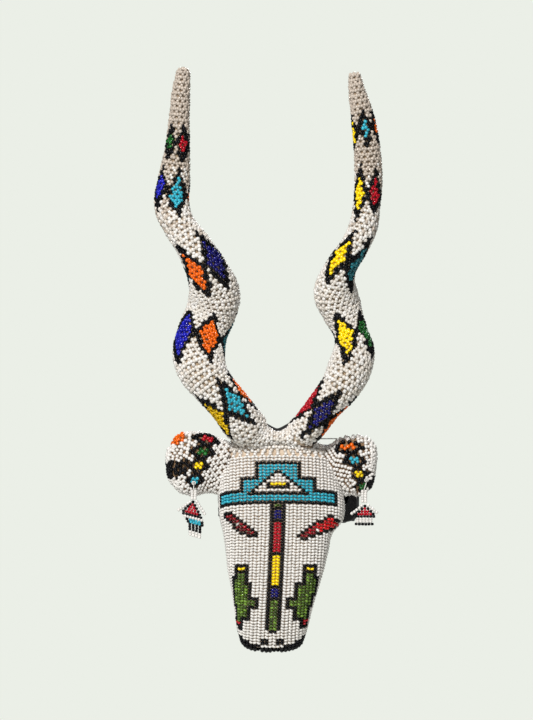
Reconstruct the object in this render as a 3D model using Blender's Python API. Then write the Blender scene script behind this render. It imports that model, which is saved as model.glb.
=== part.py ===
"""Beaded antelope head for a wall: a stuffed head, two spiral horns and two ears under
beadwork, on a short cloth neck with a wooden back board, and a beaded pendant on each ear.

X runs to the viewer's right, Y runs back to the wall and Z runs up. Sizes below are in mm and are
measured from the head's centre line; every mesh is written in metres, moved so that the origin is
the centre of the back board's rear face, which lies on the wall.
"""

import math

import bmesh
import bpy
import numpy as np

MM = 0.001
GAP = 0.3            # clearance between pieces that touch, mm
BEAD_SKIN = 2.7      # thickness of the beadwork, mm
CLOTH = 1.0          # thickness of the head cloth, mm

# Head: stations run from the crown (0) to the snout along a bent spine, all in mm.
SPINE_START = (0.0, -72.0, 12.0)
SPINE_LEAN = [(-10, 17), (35, 17), (80, 4), (125, -12), (142, -23), (155, -27)]
SPINE_DRIFT = [(-10, 0.3), (50, 0.3), (95, -1.6), (137, -3.9), (155, -4.2)]
HALF_WIDTH_LEFT = [(6, 41), (20, 44.5), (32, 45), (44, 44.5), (52, 43.4), (60, 41.2), (75, 38.4),
                   (90, 36), (105, 32.2), (120, 29.2), (132, 27), (142, 24.4)]
HALF_WIDTH_RIGHT = [(6, 41), (20, 45.5), (32, 49), (44, 50.4), (52, 48.6), (60, 42), (75, 38.9),
                    (90, 36), (105, 32.2), (120, 28.8), (132, 26.6), (142, 24.2)]
HALF_FRONT = [(6, 22), (20, 24), (45, 24), (60, 21), (84, 19), (118, 17), (142, 15)]
HALF_REAR = [(6, 21), (20, 26), (45, 27), (60, 24), (84, 22), (118, 20), (142, 17)]
CROWN_AT, CROWN_RISE = 6.0, 11.0
SNOUT_AT, SNOUT_DROP = 142.0, 5.5
HEAD_ROWS = (6, 7.6, 8, 20, 32, 44, 52, 60, 75, 90, 105, 120, 132, 141.6)
CAP_STEPS = (0.3, 0.6, 0.85, 1.0)
FACE_EDGE, JAW_EDGE = 112, 114       # angle round the head where face beads end and jaw beads start
HEAD_ANGLES = (0, 18, 36, 54, 72, 90, 104, FACE_EDGE, JAW_EDGE, 130, 150)
LACE_EDGE = 72
NECK_OPENING = (8, 60)               # stations where the head cloth is open to the neck

# Horns: (x, y, z, half width, half depth) from the base up, mm.
HORN_LEFT = [(-19.0, -86, 29, 14.6, 13.5), (-26.4, -92, 36.5, 15.6, 14), (-36.2, -98, 49.5, 15.2, 14),
             (-48.0, -103, 63.8, 15.8, 14.5), (-55.6, -101, 75, 18.2, 15), (-58.9, -95, 88, 19.7, 15.5),
             (-55.9, -89, 104.3, 18.8, 15.5), (-50.2, -89, 119, 18.9, 15), (-47.4, -95, 133, 19.2, 14.5),
             (-52.6, -103, 149.5, 16.0, 14), (-62.6, -106, 168, 13.4, 13), (-73.4, -102, 184, 12.2, 12.5),
             (-79.1, -96, 199, 13.2, 12), (-77.6, -93, 219, 12.1, 11), (-75.2, -94, 241, 9.6, 9.4),
             (-73.8, -96, 262, 8.0, 8), (-72.4, -96, 283, 7.0, 7), (-70.9, -95, 297.5, 5.6, 5.6)]
HORN_RIGHT = [(18.0, -86, 28, 12.6, 13), (25.4, -92, 36, 12.8, 13.5), (35.4, -98, 49, 13.0, 13.5),
              (46.6, -103, 63.2, 14.8, 14), (53.4, -101, 76, 16.4, 14.5), (57.2, -95, 90, 15.4, 14.5),
              (54.8, -89, 104.3, 12.8, 14), (48.6, -89, 120, 15.2, 14), (43.6, -95, 135, 16.4, 13.5),
              (47.2, -103, 151.5, 11.8, 13), (57.2, -106, 168, 10.6, 12), (64.0, -102, 183, 10.7, 11.5),
              (66.8, -96, 199, 10.2, 11), (68.2, -93, 221, 10.6, 10.5), (66.9, -94, 244, 10.0, 9.4),
              (63.6, -96, 266, 8.8, 8.2), (59.8, -96, 284, 6.6, 7), (57.9, -95, 295.5, 4.8, 5)]
HORN_RINGS, HORN_SIDES = 23, 12
HORN_WIRE_RADIUS = 1.5
HORN_WIRE_BARE = 7          # rings at the tip that the wire does not reach

# Netted yoke that joins the horns, and the black pad behind it.
YOKE = [(-19.0, -86, 29, 14.6, 13.5), (-11.0, -83.5, 25.5, 10.4, 13), (0.0, -83, 24.2, 5.6, 12.5),
        (10.5, -83.5, 25, 9.4, 12.5), (18.0, -86, 28, 12.6, 13)]
PAD = [(-19.0, -63.5, 35.5, 6.4, 5), (-10.0, -63, 28.8, 6.6, 5), (0.0, -63, 24.9, 6.6, 5),
       (10.0, -63, 28.8, 6.6, 5), (19.0, -63.5, 35.5, 6.4, 5)]

# Ears: (x, y, z, half height, half thickness) from the root out, mm.
EAR_LEFT = [(-40.0, -80, 1.5, 20.5, 8.5), (-48.0, -81, 3.5, 21.5, 9.5), (-57.0, -82.5, 5, 24, 10.5),
            (-67.0, -84, 5, 24.5, 10), (-75.0, -85.5, 4, 21.5, 8.5), (-80.5, -86.5, 3.5, 14, 6)]
EAR_RIGHT = [(40.0, -80, -1.0, 19, 8.5), (47.0, -81, 1, 21, 9.5), (55.0, -82.5, 3.5, 23, 10.5),
             (62.0, -84, 3.5, 23.2, 10), (67.5, -85.5, 3, 21.4, 8.5), (70.8, -86.5, 2.6, 17.5, 6)]
EAR_SIDES = 14
EAR_WIRE, EAR_WIRE_RADIUS = ((31.0, -83.5, 24), (45.2, -80.5, 24)), 0.4

# Neck and board: centre (x, z) and half sizes, mm.
NECK_CENTRE, NECK_HALF, NECK_FRONT = (8.0, -10.5), (54.0, 28.5), -60.0
NECK_CLOTH = 1.2
BOARD_HALF, BOARD_THICK = (47.0, 24.0), 10.0
FRAME_ORIGIN = np.array([NECK_CENTRE[0], 0.0, NECK_CENTRE[1]])

# Hanger: a toothed steel strip in a shallow recess, over a deeper pocket for the nail's head, mm.
RECESS_HALF_X, RECESS_Z, RECESS_DEPTH = 24.0, (-2.0, 11.0), 3.2
POCKET_HALF_X, POCKET_Z, POCKET_DEPTH = 13.0, (-2.0, 9.0), 7.0
STRIP_HALF_X, STRIP_Z, STRIP_THICK = 21.0, (3.0, 10.0), 1.0
TOOTH_COUNT, TOOTH_PITCH, TOOTH_DEPTH = 7, 3.0, 1.5
SCREW_OFFSET, SCREW_SHANK, SCREW_HEAD, SCREW_LENGTH = 17.0, 1.1, 2.4, 6.5

# Pendants: (x, z) of the anchor stitch on the ear, then outlines measured from the anchor, mm.
PENDANT_Y = -96.5
ANCHOR_START, ANCHOR_RADIUS = -92.1, 0.5
LOOP_RADIUS, THREAD_RADIUS = 1.2, 0.35
SWING_GAP = 0.6             # from the knot's lowest bead down to the line the panel swings on
KNOT_DEPTH, PANEL_DEPTH = 1.5, 1.1
ANCHOR_RIGHT, ANCHOR_LEFT = (66.6, -7.0), (-62.8, -9.0)
KNOT_RIGHT = [(-4.0, -7.4), (0.6, -7.4), (0.2, -16.9), (-4.2, -16.9)]
STRANDS_RIGHT = [[(-5.0, -19.2), (-10.8, -25.0)], [(1.4, -19.2), (7.8, -23.6)]]
PANEL_RIGHT = [(-2.0, -18.4), (6.2, -25.2), (6.2, -26.6), (-9.6, -26.6), (-9.6, -25.8)]
ROWS_RIGHT = [[(-9.6, -26.9), (6.0, -26.9), (6.0, -31.6), (-9.6, -31.6)],
              [(-9.6, -31.9), (6.0, -31.9), (6.0, -33.6), (-9.6, -33.6)]]
KNOT_LEFT = [(-2.0, -5.2), (2.0, -5.2), (1.8, -12.0), (-2.2, -12.0)]
STRANDS_LEFT = [[(-3.2, -14.4), (-11.6, -20.3)], [(2.6, -14.3), (8.0, -23.2)]]
PANEL_LEFT = [(-0.3, -14.2), (5.7, -23.8), (5.7, -25.8), (-8.7, -22.0), (-8.7, -20.2)]
ROWS_LEFT = [[(-8.4, -22.4), (5.9, -26.2), (6.4, -29.0), (-6.4, -26.0)],
             [(-6.2, -26.4), (6.6, -29.4), (7.2, -35.8), (-2.8, -33.4)],
             [(-2.4, -33.8), (5.4, -35.8), (4.4, -41.6), (-1.4, -40.6)]]

THREAD, WHITE_BEAD, BLACK_BEAD = (0.85, 0.85, 0.82), (0.90, 0.88, 0.85), (0.03, 0.03, 0.03)
TAN_CLOTH, BROWN_CLOTH, BLACK_CLOTH = (0.66, 0.52, 0.36), (0.52, 0.38, 0.24), (0.02, 0.02, 0.02)
STEEL = (0.62, 0.62, 0.64)


def table(points, at):
    """Smooth value read from (position, value...) points, level past both ends."""
    pos = [p[0] for p in points]
    if at <= pos[0]:
        return np.array(points[0][1:], float)
    if at >= pos[-1]:
        return np.array(points[-1][1:], float)
    i = max(k for k in range(len(pos) - 1) if pos[k] <= at)
    t = (at - pos[i]) / (pos[i + 1] - pos[i])
    vals = [np.array(points[min(max(j, 0), len(points) - 1)][1:], float) for j in range(i - 1, i + 3)]
    gap = [max(pos[min(j + 1, len(pos) - 1)] - pos[max(j, 0)], 1e-6) for j in range(i - 1, i + 2)]
    step = pos[i + 1] - pos[i]
    slope = (vals[2] - vals[1]) / step
    before = (vals[1] - vals[0]) / gap[0] if i > 0 else slope
    after = (vals[3] - vals[2]) / gap[2] if i + 2 < len(pos) else slope
    m0 = 0.5 * (before + slope) * step
    m1 = 0.5 * (after + slope) * step
    return ((2 * t**3 - 3 * t**2 + 1) * vals[1] + (t**3 - 2 * t**2 + t) * m0
            + (-2 * t**3 + 3 * t**2) * vals[2] + (t**3 - t**2) * m1)


def along(points, count):
    """Evenly spaced samples of a smooth path through the points."""
    keyed = [(float(i), *p) for i, p in enumerate(points)]
    dense = np.array([table(keyed, t) for t in np.linspace(0, len(points) - 1, 16 * len(points))])
    run = np.concatenate([[0], np.cumsum(np.linalg.norm(np.diff(dense[:, :3], axis=0), axis=1))])
    want = np.linspace(0, run[-1], count)
    return np.stack([np.interp(want, run, dense[:, k]) for k in range(dense.shape[1])], axis=1)


def make(name, verts, faces, colour, roughness=0.6, metallic=0.0, smooth=True, pivot=None):
    """One closed mesh object with its own material; verts in mm, origin moved to the pivot."""
    mesh = bpy.data.meshes.new(name)
    turning_point = np.array(pivot if pivot is not None else FRAME_ORIGIN, float)
    mesh.from_pydata([tuple((np.array(v, float) - turning_point) * MM) for v in verts], [], faces)
    bm = bmesh.new()
    bm.from_mesh(mesh)
    bmesh.ops.remove_doubles(bm, verts=bm.verts, dist=1e-6)
    bmesh.ops.recalc_face_normals(bm, faces=bm.faces)
    bm.to_mesh(mesh)
    bm.free()
    for poly in mesh.polygons:
        poly.use_smooth = smooth
    ob = bpy.data.objects.new(name, mesh)
    ob.location = tuple((turning_point - FRAME_ORIGIN) * MM)
    bpy.context.scene.collection.objects.link(ob)
    mat = bpy.data.materials.new(name)
    mat.use_nodes = True
    bsdf = mat.node_tree.nodes["Principled BSDF"]
    bsdf.inputs["Base Color"].default_value = (*colour, 1)
    bsdf.inputs["Roughness"].default_value = roughness
    bsdf.inputs["Metallic"].default_value = metallic
    mesh.materials.append(mat)
    return ob


def bridge(first, second, count):
    """Quads between two rings that start at these vertex numbers."""
    return [(first + i, first + (i + 1) % count, second + (i + 1) % count, second + i) for i in range(count)]


def stack(rings, close_start=True, close_end=True):
    """Vertices and faces of a surface through equal rings, closed by a fan at either end."""
    count = len(rings[0])
    verts = [tuple(p) for ring in rings for p in ring]
    faces = [f for r in range(len(rings) - 1) for f in bridge(r * count, (r + 1) * count, count)]
    for closed, ring in ((close_start, 0), (close_end, len(rings) - 1)):
        if closed:
            verts.append(tuple(np.mean(rings[ring], axis=0)))
            hub = len(verts) - 1
            faces += [(hub, ring * count + (i + 1) % count, ring * count + i) for i in range(count)]
    return verts, faces


def stack_flat(rings):
    """Two equal outlines joined by a wall, each closed by one flat polygon."""
    count = len(rings[0])
    verts = [tuple(p) for ring in rings for p in ring]
    faces = bridge(0, count, count) + [tuple(range(count)), tuple(reversed(range(count, 2 * count)))]
    return verts, faces


def slab(outline, y, depth):
    """A flat (x, z) outline across Y, reaching the given depth either side of y."""
    rings = [np.array([(x, y + s * depth, z) for x, z in outline]) for s in (-1, 1)]
    return stack_flat(rings)


def shell(outer, inner, cap_end=False):
    """A tube wall between outer and inner rings; with cap_end its far end is closed like a cup."""
    count = len(outer[0])
    vo, fo = stack(outer, False, cap_end)
    vi, fi = stack(inner, False, cap_end)
    base = len(vo)
    faces = fo + [tuple(base + k for k in f) for f in fi]
    faces += bridge(0, base, count)
    if not cap_end:
        faces += bridge((len(outer) - 1) * count, base + (len(inner) - 1) * count, count)
    return vo + vi, faces


def unit(vector):
    return np.array(vector, float) / np.linalg.norm(vector)


def sections(samples, sides, inset=0.0, round_radius=None, tip=None, first=None, last=None):
    """Rings square to a swept path. Samples are (x, y, z, half width, half depth).

    first and last set the direction of an end that meets another piece, half a gap short of it.
    """
    pts = samples[:, :3]
    tangents = np.gradient(pts, axis=0)
    shifts = np.zeros_like(pts)
    if first is not None:
        tangents[0] = first
        shifts[0] = unit(first) * GAP / 2
    if last is not None:
        tangents[-1] = last
        shifts[-1] = -unit(last) * GAP / 2
    rings = []
    for k, (p, t) in enumerate(zip(pts + shifts, tangents)):
        t = unit(t)
        across = np.cross(t, (0, 1, 0))
        across /= np.linalg.norm(across)
        deep = np.cross(across, t)
        hw, hd = samples[k, 3] - inset, samples[k, 4] - inset
        if round_radius is not None:
            hw = hd = round_radius
        ring = [p + across * hw * math.cos(a) + deep * hd * math.sin(a)
                for a in (2 * math.pi * i / sides for i in range(sides))]
        rings.append(np.array(ring))
    if tip is not None:
        for u in (0.45, 0.8):
            k = math.sqrt(1 - u * u)
            turns = (2 * math.pi * i / sides for i in range(sides))
            rings.append(np.array([p + t * tip * u + across * hw * k * math.cos(a)
                                   + deep * hd * k * math.sin(a) for a in turns]))
    return rings


def cut(target, tool_verts, tool_faces):
    """Takes a closed shape, given in mm, out of the target."""
    mesh = bpy.data.meshes.new("cutter")
    mesh.from_pydata([tuple((np.array(v, float) - FRAME_ORIGIN) * MM) for v in tool_verts], [], tool_faces)
    bm = bmesh.new()
    bm.from_mesh(mesh)
    bmesh.ops.remove_doubles(bm, verts=bm.verts, dist=1e-6)
    bmesh.ops.recalc_face_normals(bm, faces=bm.faces)
    bm.to_mesh(mesh)
    bm.free()
    tool = bpy.data.objects.new("cutter", mesh)
    bpy.context.scene.collection.objects.link(tool)
    mod = target.modifiers.new("cut", "BOOLEAN")
    mod.operation = "DIFFERENCE"
    mod.solver = "EXACT"
    mod.object = tool
    bpy.context.view_layer.update()
    graph = bpy.context.evaluated_depsgraph_get()
    result = bpy.data.meshes.new_from_object(target.evaluated_get(graph))
    target.modifiers.clear()
    target.data = result
    for poly in result.polygons:
        poly.use_smooth = True
    bpy.data.objects.remove(tool)


def box(centre, half):
    """Vertices and faces of a box in mm."""
    verts = [(centre[0] + sx * half[0], centre[1] + sy * half[1], centre[2] + sz * half[2])
             for sz in (-1, 1) for sy in (-1, 1) for sx in (-1, 1)]
    faces = [(0, 2, 3, 1), (4, 5, 7, 6), (0, 1, 5, 4), (2, 6, 7, 3), (0, 4, 6, 2), (1, 3, 7, 5)]
    return verts, faces


def rod(start, end, radius, sides=8):
    """Vertices and faces of a round bar between two points in mm."""
    a, b = np.array(start, float), np.array(end, float)
    t = (b - a) / np.linalg.norm(b - a)
    side = np.cross(t, (0, 1, 0)) if abs(t[1]) < 0.9 else np.cross(t, (1, 0, 0))
    side /= np.linalg.norm(side)
    other = np.cross(t, side)
    turns = [2 * math.pi * i / sides for i in range(sides)]
    rings = [[p + radius * (side * math.cos(q) + other * math.sin(q)) for q in turns] for p in (a, b)]
    return stack(rings)


# ---------------------------------------------------------------- head


def spine(at):
    """Point and lean (radians) of the head's spine at a station."""
    step = 0.5 if at >= 0 else -0.5
    x, y, z = SPINE_START
    for k in range(int(round(abs(at) / 0.5))):
        lean = math.radians(table(SPINE_LEAN, (k + 0.5) * step)[0])
        y -= math.sin(lean) * step
        z -= math.cos(lean) * step
    rest = at - int(round(abs(at) / 0.5)) * step
    lean = math.radians(table(SPINE_LEAN, at)[0])
    y -= math.sin(lean) * rest
    z -= math.cos(lean) * rest
    return np.array([x + table(SPINE_DRIFT, at)[0], y, z]), lean


def head_ring(at, inset, shrink, angles):
    """One ring of the head surface, inset from the outside, at a station."""
    centre, lean = spine(at)
    front = np.array([0, -math.cos(lean), math.sin(lean)])
    body = min(max(at, CROWN_AT), SNOUT_AT)
    left = (table(HALF_WIDTH_LEFT, body)[0] - inset) * shrink
    right = (table(HALF_WIDTH_RIGHT, body)[0] - inset) * shrink
    fore = (table(HALF_FRONT, body)[0] - inset) * shrink
    rear = (table(HALF_REAR, body)[0] - inset) * shrink
    ring = []
    for deg in angles:
        s, c = math.sin(math.radians(deg)), math.cos(math.radians(deg))
        power = 2 / 2.6 if c >= 0 else 2 / 2.2
        wide = (right if s >= 0 else left) * math.copysign(abs(s) ** (2 / 2.6), s)
        deep = (fore if c >= 0 else rear) * math.copysign(abs(c) ** power, c)
        ring.append(centre + np.array([wide, 0, 0]) + front * deep)
    return np.array(ring)


def head_grid(inset):
    """Rings of the head from crown to snout at one depth, with their station keys."""
    angles = [-a for a in reversed(HEAD_ANGLES[1:])] + list(HEAD_ANGLES) + [170, 190]
    rings, keys = [], []
    for u in reversed(CAP_STEPS[:-1]):
        rise = (CROWN_RISE - inset) * math.sin(u * math.pi / 2)
        rings.append(head_ring(CROWN_AT - rise, inset, math.cos(u * math.pi / 2), angles))
        keys.append(CROWN_AT - u)
    for at in HEAD_ROWS:
        rings.append(head_ring(at, inset, 1.0, angles))
        keys.append(at)
    rings.append(head_ring(SNOUT_AT, inset, 1.0, angles))
    keys.append(SNOUT_AT)
    for u in CAP_STEPS[:-1]:
        drop = (SNOUT_DROP - inset) * math.sin(u * math.pi / 2) ** 0.8
        rings.append(head_ring(SNOUT_AT + drop, inset, math.cos(u * math.pi / 2) ** 0.7, angles))
        keys.append(SNOUT_AT + u)
    return rings, keys, angles


def head_solid(inset):
    """The whole head as one closed shape at one depth."""
    rings, _, _ = head_grid(inset)
    return stack(rings)


def head_shell(outer_inset, inner_inset, keep, cap_start=False, cap_end=False):
    """Closed wall between two depths of the head over the cells that keep(row key, angle) accepts."""
    outer, keys, angles = head_grid(outer_inset)
    inner, _, _ = head_grid(inner_inset)
    rows, cols = len(keys), len(angles)
    verts = [tuple(p) for grid in (outer, inner) for ring in grid for p in ring]
    half = rows * cols

    def cell(r, c):
        if not 0 <= r < rows - 1:
            return False
        c %= cols
        mid = 0.5 * (angles[c] + (angles[c + 1] if c + 1 < cols else angles[0] + 360))
        return keep(keys[r], keys[r + 1], abs((mid + 180) % 360 - 180))

    faces = []
    for r in range(rows - 1):
        for c in range(cols):
            if not cell(r, c):
                continue
            n = (c + 1) % cols
            a, b, d, e = r * cols + c, r * cols + n, (r + 1) * cols + n, (r + 1) * cols + c
            faces += [(a, b, d, e), (half + a, half + b, half + d, half + e)]
            for there, p, q in ((cell(r, c - 1), a, e), (cell(r, c + 1), b, d)):
                if not there:
                    faces.append((p, q, half + q, half + p))
            if not cell(r - 1, c) and not (cap_start and r == 0):
                faces.append((a, b, half + b, half + a))
            if not cell(r + 1, c) and not (cap_end and r == rows - 2):
                faces.append((e, d, half + d, half + e))
    for wanted, r in ((cap_start, 0), (cap_end, rows - 1)):
        if not wanted:
            continue
        for layer, rings in ((0, outer), (half, inner)):
            verts.append(tuple(np.mean(rings[r], axis=0)))
            hub = len(verts) - 1
            faces += [(hub, layer + r * cols + c, layer + r * cols + (c + 1) % cols) for c in range(cols)]
    used = sorted({k for f in faces for k in f})
    number = {k: i for i, k in enumerate(used)}
    return [verts[k] for k in used], [tuple(number[k] for k in f) for f in faces]


def build_head():
    skin, cloth_out = BEAD_SKIN, BEAD_SKIN + GAP
    cloth_in = cloth_out + CLOTH
    make("head_form", *head_solid(cloth_in + GAP), (0.78, 0.72, 0.60), 0.9)

    def cloth_cell(low, high, angle):
        in_neck = low >= NECK_OPENING[0] and high <= NECK_OPENING[1]
        return not (in_neck and angle > JAW_EDGE)

    make("head_cloth", *head_shell(cloth_out, cloth_in, cloth_cell, True, True), TAN_CLOTH, 0.9)
    make("face_beadwork", *head_shell(0, skin, lambda low, high, angle:
         low >= 8 and high <= 141.6 and angle < FACE_EDGE), WHITE_BEAD, 0.25)
    make("brow_lacing", *head_shell(0.4, skin, lambda low, high, angle:
         low >= CROWN_AT - CAP_STEPS[0] and high <= 7.6 and angle < LACE_EDGE), WHITE_BEAD, 0.25)
    make("jaw_beadwork", *head_shell(0, skin, lambda low, high, angle:
         low >= SNOUT_AT or (low >= NECK_OPENING[1] and angle > JAW_EDGE), False, True), BLACK_BEAD, 0.25)


# ---------------------------------------------------------------- horns, yoke and ears


def join_direction(horn, beside):
    """Direction of the path where a horn meets the yoke, from the points on either side."""
    return unit(np.array(horn[1][:3]) - np.array(beside[:3]))


def build_horns():
    for side, points, beside in (("left", HORN_LEFT, YOKE[1]), ("right", HORN_RIGHT, YOKE[-2])):
        path = along(points, HORN_RINGS)
        way = join_direction(points, beside)
        bead_out = sections(path, HORN_SIDES, 0, tip=path[-1, 3], first=way)
        bead_in = sections(path, HORN_SIDES, BEAD_SKIN, tip=path[-1, 3] - BEAD_SKIN, first=way)
        make(f"horn_beadwork_{side}", *shell(bead_out, bead_in, cap_end=True), WHITE_BEAD, 0.25)
        core_out = sections(path, HORN_SIDES, BEAD_SKIN + GAP, tip=path[-1, 3] - BEAD_SKIN - GAP, first=way)
        reach = HORN_RINGS - HORN_WIRE_BARE
        hole = sections(path[:reach], HORN_SIDES, round_radius=HORN_WIRE_RADIUS + GAP + 0.1, first=way)
        vo, fo = stack(core_out, False, True)
        vi, fi = stack(hole, False, True)
        faces = fo + [tuple(len(vo) + k for k in f) for f in fi] + bridge(0, len(vo), HORN_SIDES)
        make(f"horn_core_{side}", vo + vi, faces, BROWN_CLOTH, 0.9)
        wire = sections(path[:reach], 8, round_radius=HORN_WIRE_RADIUS, first=way)
        tangent = path[reach - 1, :3] - path[reach - 2, :3]
        wire[-1] = wire[-1] - tangent / np.linalg.norm(tangent) * 2
        make(f"horn_wire_{side}", *stack(wire), (0.45, 0.45, 0.46), 0.4, 1.0)


def build_yoke():
    head = head_solid(-GAP)
    path = along(YOKE, 9)
    ends = {"first": -join_direction(HORN_LEFT, YOKE[1]), "last": join_direction(HORN_RIGHT, YOKE[-2])}
    outer = sections(path, HORN_SIDES, **ends)
    inner = sections(path, HORN_SIDES, BEAD_SKIN, **ends)
    core = sections(path, HORN_SIDES, BEAD_SKIN + GAP, **ends)
    shaved = head_solid(-GAP)
    yoke = make("poll_yoke_beadwork", *shell(outer, inner), WHITE_BEAD, 0.25)
    cut(yoke, *head)
    poll = make("poll_core", *stack(core), TAN_CLOTH, 0.9)
    cut(poll, *shaved)
    pad = make("poll_back_pad", *stack(sections(along(PAD, 7), 10)), BLACK_CLOTH, 0.9)
    cut(pad, *head)


def build_ears():
    head = head_solid(-GAP)
    for side, points in (("left", EAR_LEFT), ("right", EAR_RIGHT)):
        path = along(points, 7)
        outer = sections(path, EAR_SIDES, tip=3.4)
        inner = sections(path, EAR_SIDES, BEAD_SKIN, tip=3.4 - BEAD_SKIN)
        ear = make(f"ear_beadwork_{side}", *shell(outer, inner, cap_end=True), WHITE_BEAD, 0.25)
        cut(ear, *head)
        core = sections(path, EAR_SIDES, BEAD_SKIN + GAP, tip=0.4)
        stuffed = make(f"ear_core_{side}", *stack(core), BROWN_CLOTH, 0.9)
        cut(stuffed, *head)
    make("ear_wire_right", *rod(*EAR_WIRE, EAR_WIRE_RADIUS, 6), STEEL, 0.4, 1.0)


# ---------------------------------------------------------------- neck, board and hanger


def rounded_ring(half, y, power=5.0, count=24, centre=NECK_CENTRE):
    """Rounded rectangle in the plane across Y."""
    ring = []
    for i in range(count):
        q = 2 * math.pi * (i + 0.5) / count
        c, s = math.cos(q), math.sin(q)
        ring.append((centre[0] + half[0] * math.copysign(abs(c) ** (2 / power), c), y,
                     centre[1] + half[1] * math.copysign(abs(s) ** (2 / power), s)))
    return np.array(ring)


def build_neck():
    head = head_solid(-GAP)
    back = -BOARD_THICK - GAP
    levels = ((back, -1.5), (-28, 0), (-48, -1), (NECK_FRONT, -6))

    def layer(inset):
        return [rounded_ring((NECK_HALF[0] + d - inset, NECK_HALF[1] + d - inset), y) for y, d in levels]

    outer, inner, core = layer(0), layer(NECK_CLOTH), layer(NECK_CLOTH + GAP)
    cloth = make("neck_cloth", *shell(outer, inner), BLACK_CLOTH, 0.95)
    cut(cloth, *head)
    stuffing = make("neck_core", *stack(core), (0.80, 0.78, 0.72), 0.95)
    cut(stuffing, *head)


def build_board():
    rings = [rounded_ring(BOARD_HALF, -BOARD_THICK), rounded_ring(BOARD_HALF, 0)]
    board = make("back_board", *stack(rings), (0.55, 0.38, 0.22), 0.7)
    middle = NECK_CENTRE[0]
    hollows = ((RECESS_HALF_X, RECESS_Z, RECESS_DEPTH), (POCKET_HALF_X, POCKET_Z, POCKET_DEPTH))
    for half_x, (low, high), depth in hollows:
        centre = (middle, 1 - depth / 2, 0.5 * (low + high))
        cut(board, *box(centre, (half_x, 1 + depth / 2, 0.5 * (high - low))))
    for side in (-1, 1):
        x, z = middle + side * SCREW_OFFSET, 0.5 * (STRIP_Z[0] + STRIP_Z[1])
        cut(board, *rod((x, 0, z), (x, 1.0 - BOARD_THICK, z), SCREW_SHANK + GAP, 12))


def build_hanger():
    middle, (low, high) = NECK_CENTRE[0], STRIP_Z
    front = -RECESS_DEPTH + GAP
    back = front + STRIP_THICK
    outline = [(middle - STRIP_HALF_X, high), (middle - STRIP_HALF_X, low)]
    first = middle - TOOTH_COUNT * TOOTH_PITCH / 2
    for k in range(TOOTH_COUNT):
        outline += [(first + k * TOOTH_PITCH, low), (first + (k + 0.5) * TOOTH_PITCH, low + TOOTH_DEPTH)]
    outline.append((first + TOOTH_COUNT * TOOTH_PITCH, low))
    outline += [(middle + STRIP_HALF_X, low), (middle + STRIP_HALF_X, high)]
    strip = make("hanger_strip", *slab(outline, 0.5 * (front + back), STRIP_THICK / 2), STEEL, 0.35, 1.0,
                 smooth=False)
    seat = back + GAP
    turn = [2 * math.pi * i / 12 for i in range(12)]
    levels = ((seat + 1.0, SCREW_HEAD * 0.6), (seat + 0.7, SCREW_HEAD), (seat, SCREW_HEAD),
              (seat, SCREW_SHANK), (seat - SCREW_LENGTH + 1.8, SCREW_SHANK), (seat - SCREW_LENGTH, 0.3))
    for name, side in (("hanger_screw_left", -1), ("hanger_screw_right", 1)):
        x, z = middle + side * SCREW_OFFSET, 0.5 * (low + high)
        cut(strip, *rod((x, front - 1, z), (x, back + 1, z), SCREW_SHANK + GAP, 12))
        rings = [np.array([(x + r * math.cos(q), y, z + r * math.sin(q)) for q in turn]) for y, r in levels]
        make(name, *stack(rings), STEEL, 0.35, 1.0)


# ---------------------------------------------------------------- pendants


def build_pendant(side, anchor, knot, strands, panel, rows):
    """Anchor stitch on the ear, thread loop and thread, bead knot, two side strands, panel and rows.

    knot, panel and rows are (x, z) outlines and strands are pairs of ends, all in mm from the anchor.
    """
    ax, az = anchor
    y = PENDANT_Y

    def placed(points):
        return [(ax + px, az + pz) for px, pz in points]

    def bar(name, ends, radius, sides, colour, roughness, pivot):
        (x0, z0), (x1, z1) = placed(ends)
        make(name, *rod((x0, y, z0), (x1, y, z1), radius, sides), colour, roughness, pivot=pivot)

    stitch = rod((ax, ANCHOR_START, az), (ax, y - 1.6, az), ANCHOR_RADIUS)
    make(f"pendant_anchor_{side}", *stitch, THREAD, 0.7)
    rings = []
    for q in (2 * math.pi * i / 12 for i in range(12)):
        out = np.array([math.cos(q), 0, math.sin(q)])
        centre = np.array([ax, y, az]) + LOOP_RADIUS * out
        turns = [2 * math.pi * k / 6 for k in range(6)]
        sideways = np.array((0, 1, 0))
        rings.append([centre + THREAD_RADIUS * (out * math.cos(k) + sideways * math.sin(k)) for k in turns])
    verts = [tuple(v) for ring in rings for v in ring]
    faces = [f for r in range(len(rings)) for f in bridge(r * 6, ((r + 1) % len(rings)) * 6, 6)]
    pivot = (ax, y, az)
    make(f"pendant_loop_{side}", verts, faces, THREAD, 0.7, pivot=pivot)
    top = -LOOP_RADIUS - THREAD_RADIUS - GAP
    knot_top = 0.5 * (knot[0][0] + knot[1][0]), knot[0][1] + GAP
    bar(f"pendant_thread_{side}", [(0, top), knot_top], THREAD_RADIUS, 6, THREAD, 0.7, pivot)
    make(f"pendant_knot_{side}", *slab(placed(knot), y, KNOT_DEPTH), WHITE_BEAD, 0.25, smooth=False,
         pivot=pivot)
    low_x, low_z = 0.5 * (knot[2][0] + knot[3][0]), 0.5 * (knot[2][1] + knot[3][1])
    hinge = (ax + low_x, y, az + low_z - SWING_GAP)
    for number, ends in enumerate(strands, 1):
        bar(f"pendant_strand_{side}_{number}", ends, PANEL_DEPTH, 8, WHITE_BEAD, 0.25, hinge)
    make(f"pendant_panel_{side}", *slab(placed(panel), y, PANEL_DEPTH), BLACK_BEAD, 0.25, smooth=False,
         pivot=hinge)
    for number, outline in enumerate(rows, 1):
        make(f"pendant_rows_{side}_{number}", *slab(placed(outline), y, PANEL_DEPTH), WHITE_BEAD, 0.25,
             smooth=False, pivot=hinge)


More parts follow.
